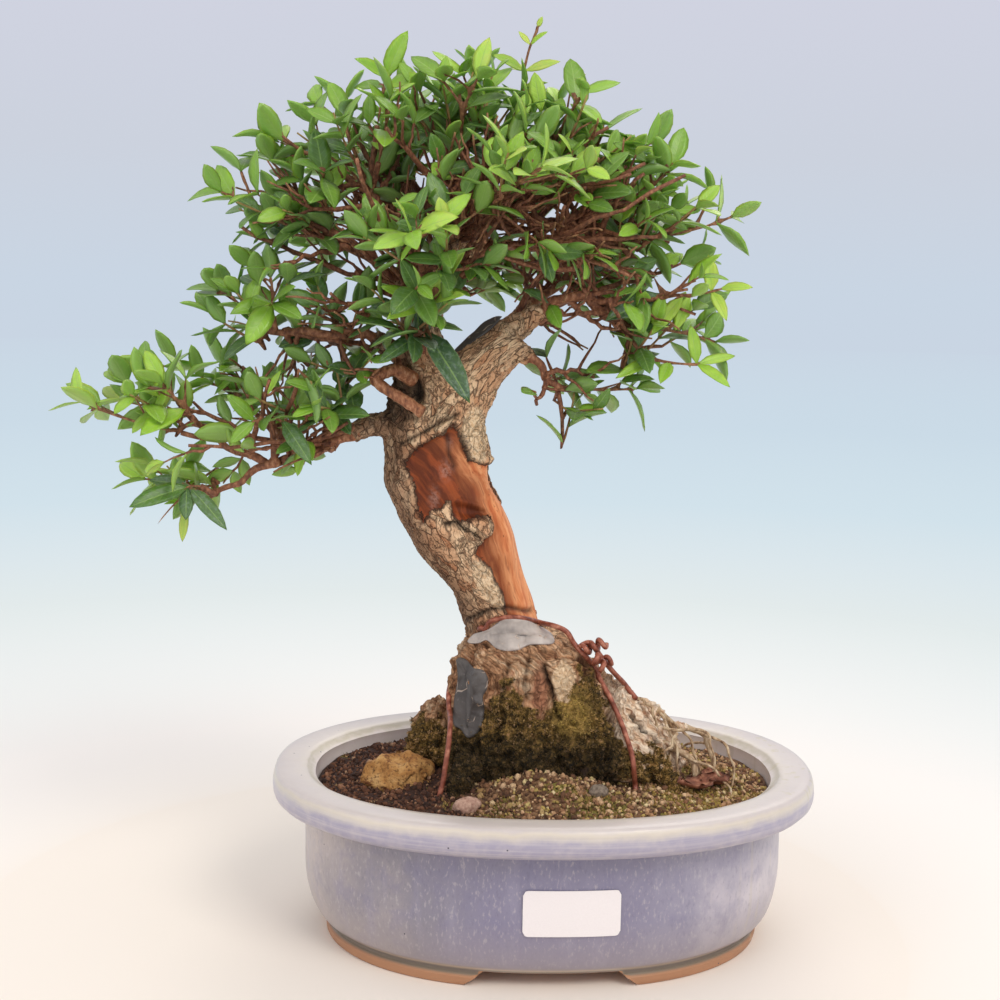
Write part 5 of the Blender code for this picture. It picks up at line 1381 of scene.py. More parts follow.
def stump_rings(steps, sides):
    rings = []
    for z, left, right, front, back in smooth_path(STUMP_ROWS, steps):
        middle = Vector(((left + right) / 2, (front + back) / 2, z))
        ring = []
        for i in range(sides):
            angle = 2 * math.pi * i / sides
            flute = 1 + 0.045 * math.sin(7 * angle + 0.03 * z) + 0.03 * math.sin(11 * angle + 2)
            x = (right - left) / 2 * flute * signed_power(math.cos(angle), 0.88)
            y = (back - front) / 2 * flute * signed_power(math.sin(angle), 0.88)
            ring.append(middle + Vector((x, y, 0)))
        rings.append(ring)
    return rings


def trunk_rings(steps, sides):
    rings = []
    for z, x, y, half_w, half_d in smooth_path(TRUNK_ROWS, steps):
        ring = []
        for i in range(sides):
            angle = 2 * math.pi * i / sides
            flute = 1 + 0.035 * math.sin(3 * angle + 0.05 * z)
            flute += 0.025 * math.sin(7 * angle - 0.04 * z)
            across, deep = half_w * flute * math.cos(angle), half_d * flute * math.sin(angle)
            ring.append(Vector((x + across, y + deep, z)))
        rings.append(ring)
    return rings


def lump_shape(centre, half, seed):
    rng = random.Random(seed)
    waves = [(jitter(rng, 3), rng.uniform(0, 6.28)) for _ in range(5)]

    def moved(point):
        reach = 1 + 0.09 * sum(math.sin(point.dot(wave) + phase) for wave, phase in waves) / 2
        return Vector(centre) + Vector([point[i] * half[i] * reach for i in range(3)])

    return ball(4, 1.0, moved)


def limb_shape(rows, steps, sides, share=1.0):
    path = smooth_path(rows, steps)
    path = path[: max(2, int(len(path) * share) + 1)]
    return tube(path, [row[3] for row in path], sides)


def build_wood(settings):
    """The stump, trunk and limbs as one grown body with plated bark and bare wood."""
    shapes = [loft(stump_rings(5, 96)), loft(trunk_rings(4, 72))]
    shapes += [limb_shape(rows, 8, 36) for rows in LIMBS.values()]
    shapes += [limb_shape(rows, 8, 20, 0.3) for rows in BOUGHS.values() if rows[0][3] > 4.0]
    shapes += [limb_shape(rows, 8, 24) for rows in THICK_ROOTS]
    shapes += [limb_shape(rows, 8, 18, 0.35) for rows in ROOTS]
    shapes += [lump_shape(centre, half, i) for i, (centre, half) in enumerate(LUMPS)]
    wood = make_object("bark_and_wood", joined(shapes))
    face_outwards(wood)
    remesh = wood.modifiers.new("grown together", "REMESH")
    remesh.mode = "VOXEL"
    remesh.voxel_size = settings.fineness
    remesh.use_smooth_shade = True
    soften = wood.modifiers.new("soft joints", "SMOOTH")
    soften.factor = 0.5
    soften.iterations = 5
    bake(wood)
    carve_bark(wood)
    wood.data.materials.append(bark_finish(settings))
    wood.data.shade_smooth()
    finish_piece(wood, "bark", "trunk")
    return wood


def carve_bark(wood):
    """Shapes bark, bare wood, clefts, knot and hole, and writes each one's share on the points, with marks
    for painted light and shade.
    """
    mesh = wood.data
    count = len(mesh.vertices)
    places = vertex_rows(mesh, "co") / MM - np.array(SHIFT) / MM
    normals = vertex_rows(mesh, "normal")
    x, y, z = places.T

    def near(line, width, drop=0.0, apart=0.0):
        """1 on a drawn line, falling off over this width."""
        return np.exp(-(((distance_to_line(x, z - drop, line) + apart) / width) ** 2))

    def within(centre, half, outer, inner, uneven=0.0, lean=0.0):
        """1 in the middle of a blob, and 0 outside it."""
        return smooth_step(outer, inner, in_blob(x + lean, z, centre, half) + uneven)

    rows = np.array(TRUNK_ROWS)
    middle_x, middle_y, half_width = (np.interp(z, rows[:, 0], rows[:, i]) for i in (1, 2, 3))
    lie = wood_lie(places)
    flank = smooth_step(22.0, 32.0, x) * smooth_step(114.0, 102.0, z)
    lie += flank[:, None] * (np.stack([0.78 * x + 0.62 * z, y, 0.78 * z - 0.62 * x], axis=1) - lie)
    edge, plate, rough, coarse, small, fibre, knobs = (np.empty(count) for _ in range(7))
    for i, place in enumerate(places):
        p, at = Vector(place), Vector(lie[i])
        bend = noise.noise(p / 9) * 0.55
        q = Vector((at.x / 3.8 + bend, at.y / 3.8 - bend, at.z / 6.5 + bend))
        plate[i] = noise.cell(noise.voronoi(q)[1][0] * 7.3) * 0.5 + 0.5
        edge[i] = abs(noise.noise(Vector((at.x / 3.6 + bend, at.y / 3.6 - bend, at.z / 13))))
        rough[i] = noise.noise(p / 1.9)
        coarse[i] = noise.noise(p / 14)
        small[i] = noise.noise(p / 4.5 + Vector((9, 3, 5)))
        fibre[i] = noise.noise(Vector((at.x / 1.8, at.y / 1.8, at.z / 11)))
        knobs[i] = noise.noise(p / 3.0 + Vector((2, 7, 4)))
    flank = np.clip(flank + 3.5 * (small + 0.7 * coarse) * flank * (1 - flank), 0, 1)
    front = smooth_step(2.0, -2.0, y - middle_y)
    from_back = 7.5 + 7.0 * coarse + 3.0 * small - (y - middle_y)
    depth = np.minimum(inside_outline(x, z, BARE_WOOD) + 0.8 * small, from_back)
    bare = smooth_step(-0.5, 0.7, depth)
    old = smooth_step(129.0, 121.0, z + 4 * small)
    bark = 1 - bare
    relief = 0.7 * (plate - 0.5) - 0.7 * smooth_step(0.08, 0.0, edge) + 0.4 * fibre + 0.3 * rough
    relief *= bark * (1 - 0.6 * flank)
    relief += 0.7 * coarse * (1 - 0.6 * bare) - 1.2 * bare
    relief += old * (1 - 0.6 * flank) * (2.1 * small + 1.2 * knobs + 0.3 * fibre + 0.5 * rough)
    relief += 1.1 * flank * (knobs + rough)
    side, along = along_line(x, z, WOOD_FLOW)
    relief += 0.25 * bare * np.sin(0.4 * side + 0.7 * np.sin(0.05 * along + 1) + 2 * coarse)
    relief += 1.5 * np.exp(-(((depth + 1.9) / 1.3) ** 2)) * (1 - old) * (0.8 + 0.6 * small)
    relief += 1.3 * near(BARK_RIDGE, 1.8) * front
    under = near(BARK_RIDGE, 0.8, drop=2.2) * front * bark
    relief -= 0.9 * under
    groove = np.maximum(near(WOOD_GROOVE, 1.1), near(WOOD_FOLD, 1.1, apart=0.3)) * front
    relief -= 1.7 * groove
    stump_front = smooth_step(-6.0, -13.0, y)
    cleft = np.maximum(near(STUMP_CLEFT, 0.9) * stump_front, near(SLOPE_CLEFT, 0.75) * (y < 4))
    for seam in STUMP_SEAMS:
        cleft = np.maximum(cleft, 0.7 * near(seam, 0.9, apart=0.8 * small) * stump_front)
    relief -= 3.0 * cleft
    nodules = within((-3.6, 106.5), (3.6, 11.0), 1.2, 0.6, 0.3 * small) * stump_front
    relief += nodules * (1.4 * np.abs(np.sin(1.3 * x + 2 * small) * np.sin(1.1 * z + 1)) + 0.4)
    foot = near(TRUNK_FOOT, 1.1) * front
    relief -= 1.6 * foot
    relief += 2.3 * within(KNOT, (9.0, 6.5), 1.15, 0.5, 0.15 * small) * front
    hollow = within(KNOT_CUP, (7.6, 3.4), 1.15, 0.45, lean=1.2 * (z - KNOT_CUP[1])) * front
    relief -= 2.4 * hollow
    relief += 0.9 * near(KNOT_LIP, 0.7) * front
    bead = within(KNOT_BEAD, (6.2, 6.0), 1.25, 0.6, 0.15 * small) * front
    relief += bead * (2.2 + 1.2 * rough + 1.0 * knobs)
    crease = near(KNOT_CREASE, 0.9) * front
    relief -= 2.8 * crease
    hole = within(ROT_HOLE, (4.6, 7.5), 1.25, 0.35, 0.2 * small) * front
    relief -= 4.6 * hole
    line = np.interp(x, *np.array(MOSS_LINE, dtype=float).T)
    moss = smooth_step(-3.0, 6.0, line - z + 9 * small + 5 * coarse) * smooth_step(-4.0, -14.0, y)
    lump_moss = smooth_step(92.0, 84.0, z + 6 * small) * smooth_step(-34.0, -38.0, x)
    lump_moss *= smooth_step(16.0, 6.0, y)
    back_moss = smooth_step(104.0, 84.0, z + 10 * small) * smooth_step(-0.1, 0.3, coarse + 0.6 * small)
    back_moss *= smooth_step(4.0, 12.0, y)
    moss = np.maximum(np.maximum(moss, lump_moss), 0.7 * back_moss) * smooth_step(128.0, 118.0, z)
    moss *= smooth_step(-0.9, -0.3, normals[:, 2])
    glow = within(*BRIGHT_MOSS, 1.35, 0.5, 0.3 * small) * stump_front
    relief += moss * (0.3 + 1.0 * rough + 0.6 * small)
    pale = np.zeros(count)
    for centre, half in PALE_PLATES:
        lean = 0.42 * (z - centre[1]) if 130 < centre[1] < 170 else 0.0
        pale = np.maximum(pale, within(centre, half, 1.15, 0.85, 0.25 * small, lean))
    pale *= front * bark
    # Painted shade: dark in the rot hole, grooves, clefts, knot crease, under the ridge and along the trunk's
    # foot, where shade falls.
    dark = np.clip(0.95 * hole + 0.7 * groove + 0.9 * cleft + 0.9 * crease + 0.85 * under + 0.8 * foot, 0, 1)
    shreds = smooth_step(1.2, 0.7, in_blob(x, z, *TORN_BARK) + 0.35 * small + 0.2 * rough)
    relief += shreds * (1.2 * rough + 1.0 * knobs)
    # The stump's front goes dark towards the soil, partly painted shadow and partly soil on the bark; the
    # torn bark is darkened too.
    base = smooth_step(93.0, 80.0, z + 4 * small) * stump_front * smooth_step(34.0, 26.0, x)
    dark = np.maximum(np.maximum(dark, 0.62 * shreds), 0.95 * base)
    # Painted shade: the trunk's left side above the stump, which the finish turns grey.
    left = smooth_step(-0.25, -0.85, (x - middle_x) / half_width) * (z > 118)
    # Painted light: the bare wood right of its flow line and below the top limbs is marked to be lit, but not
    # in the knot's cup.
    light = smooth_step(-7.0, 8.0, side + 5 * coarse) * smooth_step(214.0, 196.0, z) * (1 - 0.95 * hollow)
    # Pale spots painted as gloss highlights on the bare wood.
    painted_gloss = np.zeros(count)
    for centre, half in WOOD_GLOSS_SPOTS:
        painted_gloss = np.maximum(painted_gloss, np.exp(-(in_blob(x, z, centre, half) ** 2)))
    places = places + normals * np.clip(relief, *RELIEF_LIMITS)[:, None]
    mesh.vertices.foreach_set("co", ((places + np.array(SHIFT) / MM) * MM).astype(np.float32).ravel())
    marks = {"depth": depth, "moss": moss, "pale": pale, "dark": dark, "old": old, "bright": glow}
    marks |= {"left": left, "light": light, "painted_gloss": painted_gloss, "nodules": nodules, "flank": flank}
    for key, numbers in marks.items():
        write_values(mesh, key, numbers)
    flow = np.stack([side, 0.5 * y, along], axis=1)
    write_values(mesh, "lie", lie * MM, "FLOAT_VECTOR")
    write_values(mesh, "flow", flow * MM, "FLOAT_VECTOR")
    mesh.update()


class Bundle:
    """Tubes gathered for one piece, with the girth and the youth of each ring."""

    def __init__(self):
        self.shapes = []
        self.girth = []
        self.young = []

    def add(self, path, radii, sides, young=(0.0, 0.0), knobs=0.0, seed=0):
        rng = random.Random(seed)
        last = len(path) - 1
        uneven = [r * (1 + knobs * rng.uniform(-1, 1)) for r in radii]
        self.shapes.append(tube(path, uneven, sides))
        for i, radius in enumerate(radii):
            self.girth += [radius] * sides
            self.young += [mix(*young, i / last)] * sides

    def make(self, name, finish):
        values = {"girth": self.girth, "young": self.young}
        return make_object(name, joined(self.shapes), finish, values)


def build_boughs(finish):
    bundle = Bundle()
    for i, (name, rows) in enumerate(BOUGHS.items()):
        path = smooth_path(rows, 9)
        wander = random.Random(i)
        phase = [wander.uniform(0, 6.28) for _ in range(4)]
        stub = name == "cut_stub"
        radii = []
        for k, row in enumerate(path):
            reach = (0.2 if stub else 1.2) * min(1.0, k / 6)
            row[0] += reach * math.sin(k * 0.55 + phase[0])
            row[1] += reach * math.sin(k * 0.48 + phase[1])
            row[2] += reach * 0.7 * math.sin(k * 0.62 + phase[2])
            radii.append(row[3] * (1.0 if stub else mix(0.84, 0.56, min(1.0, 3 * k / (len(path) - 1)))))
        bundle.add(path, radii, 12, knobs=0.1, seed=i)
    finish_piece(bundle.make("boughs", finish), "bark", "trunk")


def build_roots():
    bundle = Bundle()
    for i, rows in enumerate([*ROOTS, *ROOTLETS]):
        path = smooth_path(rows, 7)
        sway = random.Random(40 + i)
        phase = [sway.uniform(0, 6.28) for _ in range(2)]
        for k, row in enumerate(path[1:-1], 1):
            row[0] += 0.6 * math.sin(k * 0.8 + phase[0])
            row[1] += 0.6 * math.sin(k * 0.7 + phase[1])
        share = 0.8 if i < len(ROOTS) else 1.0
        bundle.add(path, [row[3] * share for row in path], 9, knobs=0.12, seed=i)
    finish_piece(bundle.make("pale_roots", root_finish()), "bark", "trunk")


# Foliage


def leaf_model(number):
    """A pointed leaf one unit long and one wide, folded along its midrib and arched."""
    rng = random.Random(number * 13 + 5)
    spans = ((0.02, 0.09), (0.04, 0.2), (0.0, 0.13), (-0.06, 0.06), (-0.014, 0.014))
    fold, arch, drop, sway, wave = (rng.uniform(*span) for span in spans)
    rings, marks = [], []
    for t, half in LEAF_STATIONS[:-1]:
        ring = []
        for s, thick in LEAF_SECTION:
            lift = fold * abs(s) ** 1.4 * half + wave * s * math.sin(9 * t)
            rise = arch * t - (arch + drop) * t * t + lift - thick
            ring.append((t, s * 0.5 * half + sway * t * t, rise))
            marks.append((s, t, float(thick > 0)))
        rings.append(ring)
    points, faces = loft(rings)
    tip, sides = len(points), len(LEAF_SECTION)
    faces[-1:] = [(tip - sides + i, tip - sides + (i + 1) % sides, tip) for i in range(sides)]
    faces = [tuple(reversed(face)) for face in faces]
    points.append((1.0, sway, -drop))
    marks.append((0.0, 1.0, 0.0))
    return (points, faces), dict(zip(("across", "along", "under"), zip(*marks)))


def leaves_of(work):
    """Finds each leaf of a drawn spray by its pointed tip and the three corners next to it."""
    found = []
    for vert in work.verts:
        near = [edge.other_vert(vert) for edge in vert.link_edges]
        if len(near) != 3 or min((v.co - vert.co).length for v in near) < 3 * MM:
            continue
        _, i = max(((near[i].co - near[(i + 1) % 3].co).length, i) for i in range(3))
        first, second, keel = near[i], near[(i + 1) % 3], near[(i + 2) % 3]
        up = ((first.co + second.co) / 2 - keel.co).normalized()
        span = (first.co - second.co).length / MM
        middle = keel.co / MM + up * 0.85
        reach = vert.co / MM - middle
        ahead = reach - up * reach.dot(up)
        heading = ahead.normalized()
        large = -reach.dot(up) / ahead.length > 0.24
        share, half, lift = (0.68, 0.42, 0.02) if large else (0.42, 0.5, 0.04)
        length = ahead.length / (1 - share)
        base = middle - heading * share * length - up * lift * length - SHIFT / MM
        found.append(((base, heading, up, length, span / (2 * half)), (vert, *near), large))
    return found


def bare_stems(work, leaves):
    """The spray's stems: its mesh without the leaves, closed again."""
    gone = set()
    for _, corners, large in leaves:
        gone.update(corners)
        if large:
            for corner in corners[1:]:
                for edge in corner.link_edges:
                    other = edge.other_vert(corner)
                    if (other.co - corner.co).length > 2.0 * MM and len(other.link_edges) < 7:
                        near = [e.other_vert(other) for e in other.link_edges]
                        if sum((v.co - other.co).length > 2.0 * MM for v in near) >= 4:
                            gone.add(other)
    bmesh.ops.delete(work, geom=list(gone), context="VERTS")
    bmesh.ops.holes_fill(work, edges=[e for e in work.edges if len(e.link_faces) == 1], sides=0)
    bmesh.ops.triangulate(work, faces=[f for f in work.faces if len(f.verts) > 4])
    bmesh.ops.recalc_face_normals(work, faces=work.faces)


def out_of_middle(place):
    """How far out in the crown a place is: 0 in its middle, 1 at its reach."""
    reach = place - CROWN_MIDDLE
    return math.sqrt(sum((reach[i] / CROWN_REACH[i]) ** 2 for i in range(3)))


def youth(place, rng):
    """How young a leaf at this place looks, from 0, old and grey, to 1."""
    high = (place - CROWN_MIDDLE).z / CROWN_REACH[2]
    return max(0.0, min(0.92, 0.6 * out_of_middle(place) ** 1.4 + 0.2 * high + rng.uniform(-0.22, 0.24)))


def seen(point):
    """Where the eye sees this point on the crown's plane, across and in height."""
    share = (CROWN_PLANE - EYE[1]) / (point.y - EYE[1])
    return EYE[0] + (point.x - EYE[0]) * share, EYE[2] + (point.z - EYE[2]) * share


def in_crown(point):
    x, z = seen(point)
    odd = False
    for (ax, az), (bx, bz) in zip(CROWN_OUTLINE, CROWN_OUTLINE[1:] + CROWN_OUTLINE[:1]):
        if (az > z) != (bz > z) and x < ax + (z - az) * (bx - ax) / (bz - az):
            odd = not odd
    return odd


def inside_box(point, margin):
    low, high = (measured(corner) for corner in CAD_BOX)
    return all(low[i] + margin < point[i] < high[i] - margin for i in range(3))


def up_leaf(leaf, share=1.0):
    """The point this share of the way up a leaf."""
    return leaf[0] + leaf[1] * leaf[3] * share


class Foliage:
    """Leaf places gathered for one piece."""

    def __init__(self):
        self.leaves = []

    def add(self, leaf, age, rng):
        base, heading, up, length, width = leaf
        while not inside_box(base + heading * length, 0.6) and length > 4:
            length *= 0.95
        turn = Matrix((heading, up.cross(heading), up)).transposed().to_euler("XYZ")
        size = (length * MM, width * MM, length * MM)
        self.leaves.append((base, tuple(turn), size, rng.randrange(LEAF_KINDS), age, rng.random()))

    def make(self, name, tree, shapes, settings, finish):
        points, turns, sizes, kinds, ages, tones = zip(*self.leaves)
        obj = make_object(name, (points, []), None, {"age": ages, "tone": tones})
        write_values(obj.data, "turn", turns, "FLOAT_VECTOR")
        write_values(obj.data, "size", sizes, "FLOAT_VECTOR")
        obj.data.attributes.new("kind", "INT", "POINT").data.foreach_set("value", kinds)
        inputs = {"Leaf shapes": shapes, "Size": settings.leaf_size, "Finish": finish}
        return apply_tree(obj, tree, **inputs)


class Room:
    """Keeps new leaves off the ones that are there, and out of the crown's open places."""

    def __init__(self, seed):
        self.cells = {}
        self.rng = random.Random(seed)

    def key(self, place):
        return tuple(math.floor(c / ROOM_CELL) for c in place)

    def add(self, leaf):
        place = up_leaf(leaf, 0.6)
        self.cells.setdefault(self.key(place), []).append(place)

    def free(self, leaf):
        tip, place = up_leaf(leaf), up_leaf(leaf, 0.6)
        if not inside_box(tip, 1.5) or not in_crown(tip):
            return False
        for centre, half in CROWN_GAPS:
            across, height = ((at - mid) / reach for at, mid, reach in zip(seen(place), centre, half))
            if across**2 + height**2 < 1 and self.rng.random() < GAP_EMPTINESS:
                return False
        key = self.key(place)
        for step in itertools.product((-1, 0, 1), repeat=3):
            cell = tuple(c + s for c, s in zip(key, step))
            if any((other - place).length < LEAF_CLEARANCE for other in self.cells.get(cell, ())):
                return False
        return True


def leaf_at(rng, node, axis, radial, spread, length):
    lean = math.radians(spread)
    heading = (axis * math.cos(lean) + radial * math.sin(lean)).normalized()
    heading = (heading + Vector((0, 0, rng.uniform(-0.28, 0.12)))).normalized()
    up = axis * 0.8 + Vector((0, 0, 0.9)) - radial * 0.2
    up = up - heading * up.dot(heading)
    if up.length < 0.2:
        up = -radial - heading * -radial.dot(heading)
    up = Quaternion(heading, math.radians(rng.uniform(-38, 38))) @ up.normalized()
    return node, heading, up, length, length * rng.uniform(0.4, 0.54)


def curve(start, ahead, end, count):
    control = start + ahead * (end - start).length * 0.5
    path = []
    for i in range(count + 1):
        t = i / count
        path.append(start * (1 - t) ** 2 + control * (2 * t * (1 - t)) + end * t * t)
    return path


def grow_shoots(pad, rng, bundle, foliage, room, share):
    """Adds leafy shoots to a pad, each joined to the nearest wood that is already there."""
    bough, middle, half, lowest, count = PADS[pad]
    rows = smooth_path(BOUGHS[bough], 6)
    nodes = [Vector(row[:3]) for row in rows[int(len(rows) * 0.45) :]]
    end = nodes[-1]
    targets = []
    for _ in range(count * 16):
        if len(targets) >= round(count * share):
            break
        height = rng.uniform(lowest, 1.0)
        angle = rng.uniform(0, 2 * math.pi)
        flat = math.sqrt(max(0.0, 1 - height * height))
        way = Vector((flat * math.cos(angle), flat * math.sin(angle), height))
        reach = rng.uniform(0.45, 1.05)
        place = Vector(middle) + Vector([way[i] * half[i] * reach for i in range(3)])
        if not inside_box(place, 4.0) or not in_crown(place):
            continue
        if all((place - other).length > 10.0 for other, _ in targets):
            targets.append((place, way))
    targets.sort(key=lambda target: (target[0] - end).length)
    for place, way in targets:
        outward = place - CROWN_MIDDLE
        outward.z *= 0.5
        heading = (way * 0.55 + Vector((0, 0, 0.5)) + outward.normalized() * 0.45).normalized()
        length = rng.uniform(18, 32)
        foot = place - heading * length
        near = min(nodes, key=lambda node: (node - foot).length + 0.3 * (node - end).length)
        first = ((foot - near).normalized() + heading * 0.35 + Vector((0, 0, 0.1))).normalized()
        low = curve(near, first, foot, 4)
        high = curve(foot, (heading + jitter(rng, 0.25)).normalized(), place, 5)
        radii = taper(1.05, 0.7, 4) + taper(0.65, 0.36, 5)[1:]
        bundle.add(low + high[1:], radii, 6, (0.0, 1.0), 0.12, rng.randrange(10**6))
        nodes += low[2:]
        dress_shoot(rng, high, length, foliage, room)


def dress_shoot(rng, path, length, foliage, room, start=None):
    """Opposite pairs of leaves up a shoot, each pair a quarter turn from the last."""
    roll = rng.uniform(0, math.pi)
    at = rng.uniform(2.0, 6.0) if start is None else start
    while at < length:
        share = min(1.0, at / length)
        k = share * (len(path) - 1)
        i = min(int(k), len(path) - 2)
        node = path[i].lerp(path[i + 1], k - i)
        axis = (path[i + 1] - path[i]).normalized()
        radial = Quaternion(axis, roll) @ axis.orthogonal().normalized()
        for sign in (1, -1):
            size = mix(rng.uniform(14.5, 21.5), rng.uniform(9, 14), share**2)
            spread = mix(66, 32, share) + rng.uniform(-14, 14)
            for attempt in range(3):
                turned = Quaternion(axis, rng.uniform(-0.35, 0.35) * attempt) @ (radial * sign)
                leaf = leaf_at(rng, node, axis, turned, spread, size * (1 - 0.1 * attempt))
                if room.free(leaf):
                    room.add(leaf)
                    age = youth(node, rng) + 0.3 * share**3
                    foliage.add(leaf, min(1.0, age), rng)
                    break
        roll += math.pi / 2
        at += rng.uniform(6.0, 9.5)


def grow_fans(rng, bundle, foliage, room, share):
    """Bare forked twigs inside the crown, with a few leaves towards their ends."""
    for bough, low, high, count, middle, half in TWIG_FANS:
        rows = {**LIMBS, **BOUGHS}[bough]
        for _ in range(round(count * share)):
            origin, girth = bough_point(rows, rng.uniform(low, high))
            aim = Vector([middle[i] + half[i] * rng.uniform(-1, 1) for i in range(3)])
            if (aim - origin).length < 14 or not inside_box(aim, 6.0) or not in_crown(aim):
                continue
            ahead = ((aim - origin).normalized() + jitter(rng, 0.5)).normalized()
            path = crooked(curve(origin, ahead, aim, 9), rng)
            radii = taper(min(1.5, girth * 0.45), 0.65, 9)
            bundle.add(path, radii, 6, (0.0, 0.15), 0.16, rng.randrange(10**6))
            for _ in range(rng.choice((2, 3, 4))):
                i = rng.randrange(3, 9)
                way = (path[i] - path[i - 1]).normalized() + jitter(rng, 1)
                away = path[i] - CROWN_MIDDLE
                way = (way.normalized() + away.normalized() * 0.5 + Vector((0, 0, 0.35))).normalized()
                tip = path[i] + way * rng.uniform(12, 28)
                if not inside_box(tip, 4.0) or not in_crown(tip):
                    continue
                side = crooked(curve(path[i], way, tip, 5), rng)
                bundle.add(side, taper(0.75, 0.36, 5), 5, (0.1, 0.6), 0.12, rng.randrange(10**6))
                if rng.random() < mix(0.0, 0.6, min(1.0, out_of_middle(tip))):
                    dress_shoot(rng, side, (tip - path[i]).length, foliage, room, rng.uniform(9, 13))


def crooked(path, rng):
    """The path with small bends at its nodes."""
    return [path[0], *[p + jitter(rng, 0.9) for p in path[1:-1]], path[-1]]


def spray_twig(bundle, origin, radius, work):
    """The twig from the bough to the foot of a drawn spray."""
    near = sorted(work.verts, key=lambda v: (measured(v.co) - origin).length)[:4]
    foot = sum((v.co / MM for v in near), Vector()) / 4 - SHIFT / MM
    path = curve(origin, ((foot - origin).normalized() + Vector((0, 0, -0.15))).normalized(), foot, 6)
    path.append(foot + (path[-1] - path[-2]).normalized() * 1.0)
    radii = taper(max(1.2, min(radius * 0.6, 1.6)), 1.0, 7)
    bundle.add(path, radii, 8, knobs=0.1, seed=len(bundle.girth))


def stems_mesh(work, finish, name):
    obj = rounded(work, name, finish, 1, -0.2, flat=60)
    for key, value in (("girth", 0.9), ("young", 0.5)):
        write_values(obj.data, key, [value] * len(obj.data.vertices))
    return obj


def join_objects(first, *others):
    """Adds the other objects to the first, which keeps its name and finish."""
    work = bmesh.new()
    for obj in (first, *others):
        work.from_mesh(obj.data)
    work.to_mesh(first.data)
    work.free()
    for obj in others:
        remove(obj)


def build_foliage(settings, wood_settings):
    """Fine leaves on every drawn spray, more shoots between them, and the twigs that carry them."""
    bark = twig_finish(wood_settings)
    leaf = leaf_finish(settings)
    tree = leaf_tree()
    shapes = shape_collection("myrtle leaf", [leaf_model(i) for i in range(LEAF_KINDS)])
    room = Room(settings.seed)
    build_boughs(bark)
    jobs = []
    for pad, row in PADS.items():
        start = f"spray_{pad}_"
        nodes = sorted(n for n in frame["nodes"] if n.startswith(start) and n[len(start) :].isdigit())
        jobs.append((pad, nodes, row[0], None))
    jobs += [(name, [f"shoot_{name}"], row[0], row) for name, row in FRONT_SHOOTS.items()]
    prepared = []
    for index, (name, nodes, bough, row) in enumerate(jobs):
        rng = random.Random(settings.seed + index)
        bundle, foliage, stems = Bundle(), Foliage(), []
        for node in nodes:
            work = merged_copy(node)
            found = leaves_of(work)
            if row:
                origin, radius = bough_point({**LIMBS, **BOUGHS}[bough], row[1])
            else:
                step = int(node.rsplit("_", 1)[1]) - 1
                origin, radius = bough_point(BOUGHS[bough], 1 - 0.2 * step / 3)
            spray_twig(bundle, origin, radius, work)
            for place, _, _ in found:
                tip = up_leaf(place)
                age = youth(tip, rng)
                if row:
                    age = row[4] + rng.uniform(-0.15, 0.1)
                    for special, look in OLD_AND_YOUNG:
                        if (tip - Vector(special)).length < 3.5:
                            age = look
                room.add(place)
                foliage.add(place, max(0.0, min(1.0, age)), rng)
            bare_stems(work, found)
            stems.append(stems_mesh(work, bark, f"stems {node}"))
        prepared.append((name, nodes, row, rng, bundle, foliage, stems))
    for name, nodes, row, rng, bundle, foliage, stems in prepared:
        if not row:
            grow_shoots(name, rng, bundle, foliage, room, settings.fullness)
        twigs = bundle.make(f"twigs_{name}", bark)
        join_objects(twigs, *stems)
        finish_piece(twigs, "bark", *nodes)
        finish_piece(foliage.make(f"leaves_{name}", tree, shapes, settings, leaf), "leaf", *nodes)
    bundle, foliage = Bundle(), Foliage()
    grow_fans(random.Random(settings.seed + 99), bundle, foliage, room, settings.fullness)
    finish_piece(bundle.make("crown_twigs", bark), "bark", "trunk")
    finish_piece(foliage.make("crown_leaves", tree, shapes, settings, leaf), "leaf")
    discard(shapes)


# Soil and what lies on it


def soil_height(x, y):
    across = (x - MOUND_CENTRE[0]) / MOUND_SPREAD[0]
    deep = (y - MOUND_CENTRE[1]) / MOUND_SPREAD[1]
    ripple = 0.5 * math.sin(0.21 * x + 1) * math.sin(0.26 * y)
    heaped = 3.0 * math.exp(-(((x - 12) / 28) ** 2) - ((y + 43) / 12) ** 2)
    heaped += 6.0 * math.exp(-(((x + 3) / 15) ** 2) - ((y + 33) / 9) ** 2)
    heaped += 3.4 * math.exp(-(((x + 56) / 26) ** 2) - ((y - 30) / 20) ** 2)
    return SOIL_EDGE + MOUND_HEIGHT * math.exp(-across * across - deep * deep) + ripple + heaped


def moss_on_soil(x, y):
    p = Vector((x, y, 0))
    best = 0.0
    for (cx, cy), reach in MOSS_PATCHES:
        best = max(best, 1.25 - math.hypot(x - cx, y - cy) / reach)
    return max(0.0, min(1.0, best + 0.9 * noise.noise(p / 9) + 0.4 * noise.noise(p / 3)))


def crumbs(seed, count):
    """Small rough lumps of soil, each one unit across."""
    shapes = []
    for rng in (random.Random(seed + i) for i in range(count)):
        def moved(point, rng=rng):
            return tuple(c * rng.uniform(0.5, 1.2) * s for c, s in zip(point, (1, 0.85, 0.75)))

        shapes.append((ball(1, 0.5, moved), {}))
    return shapes


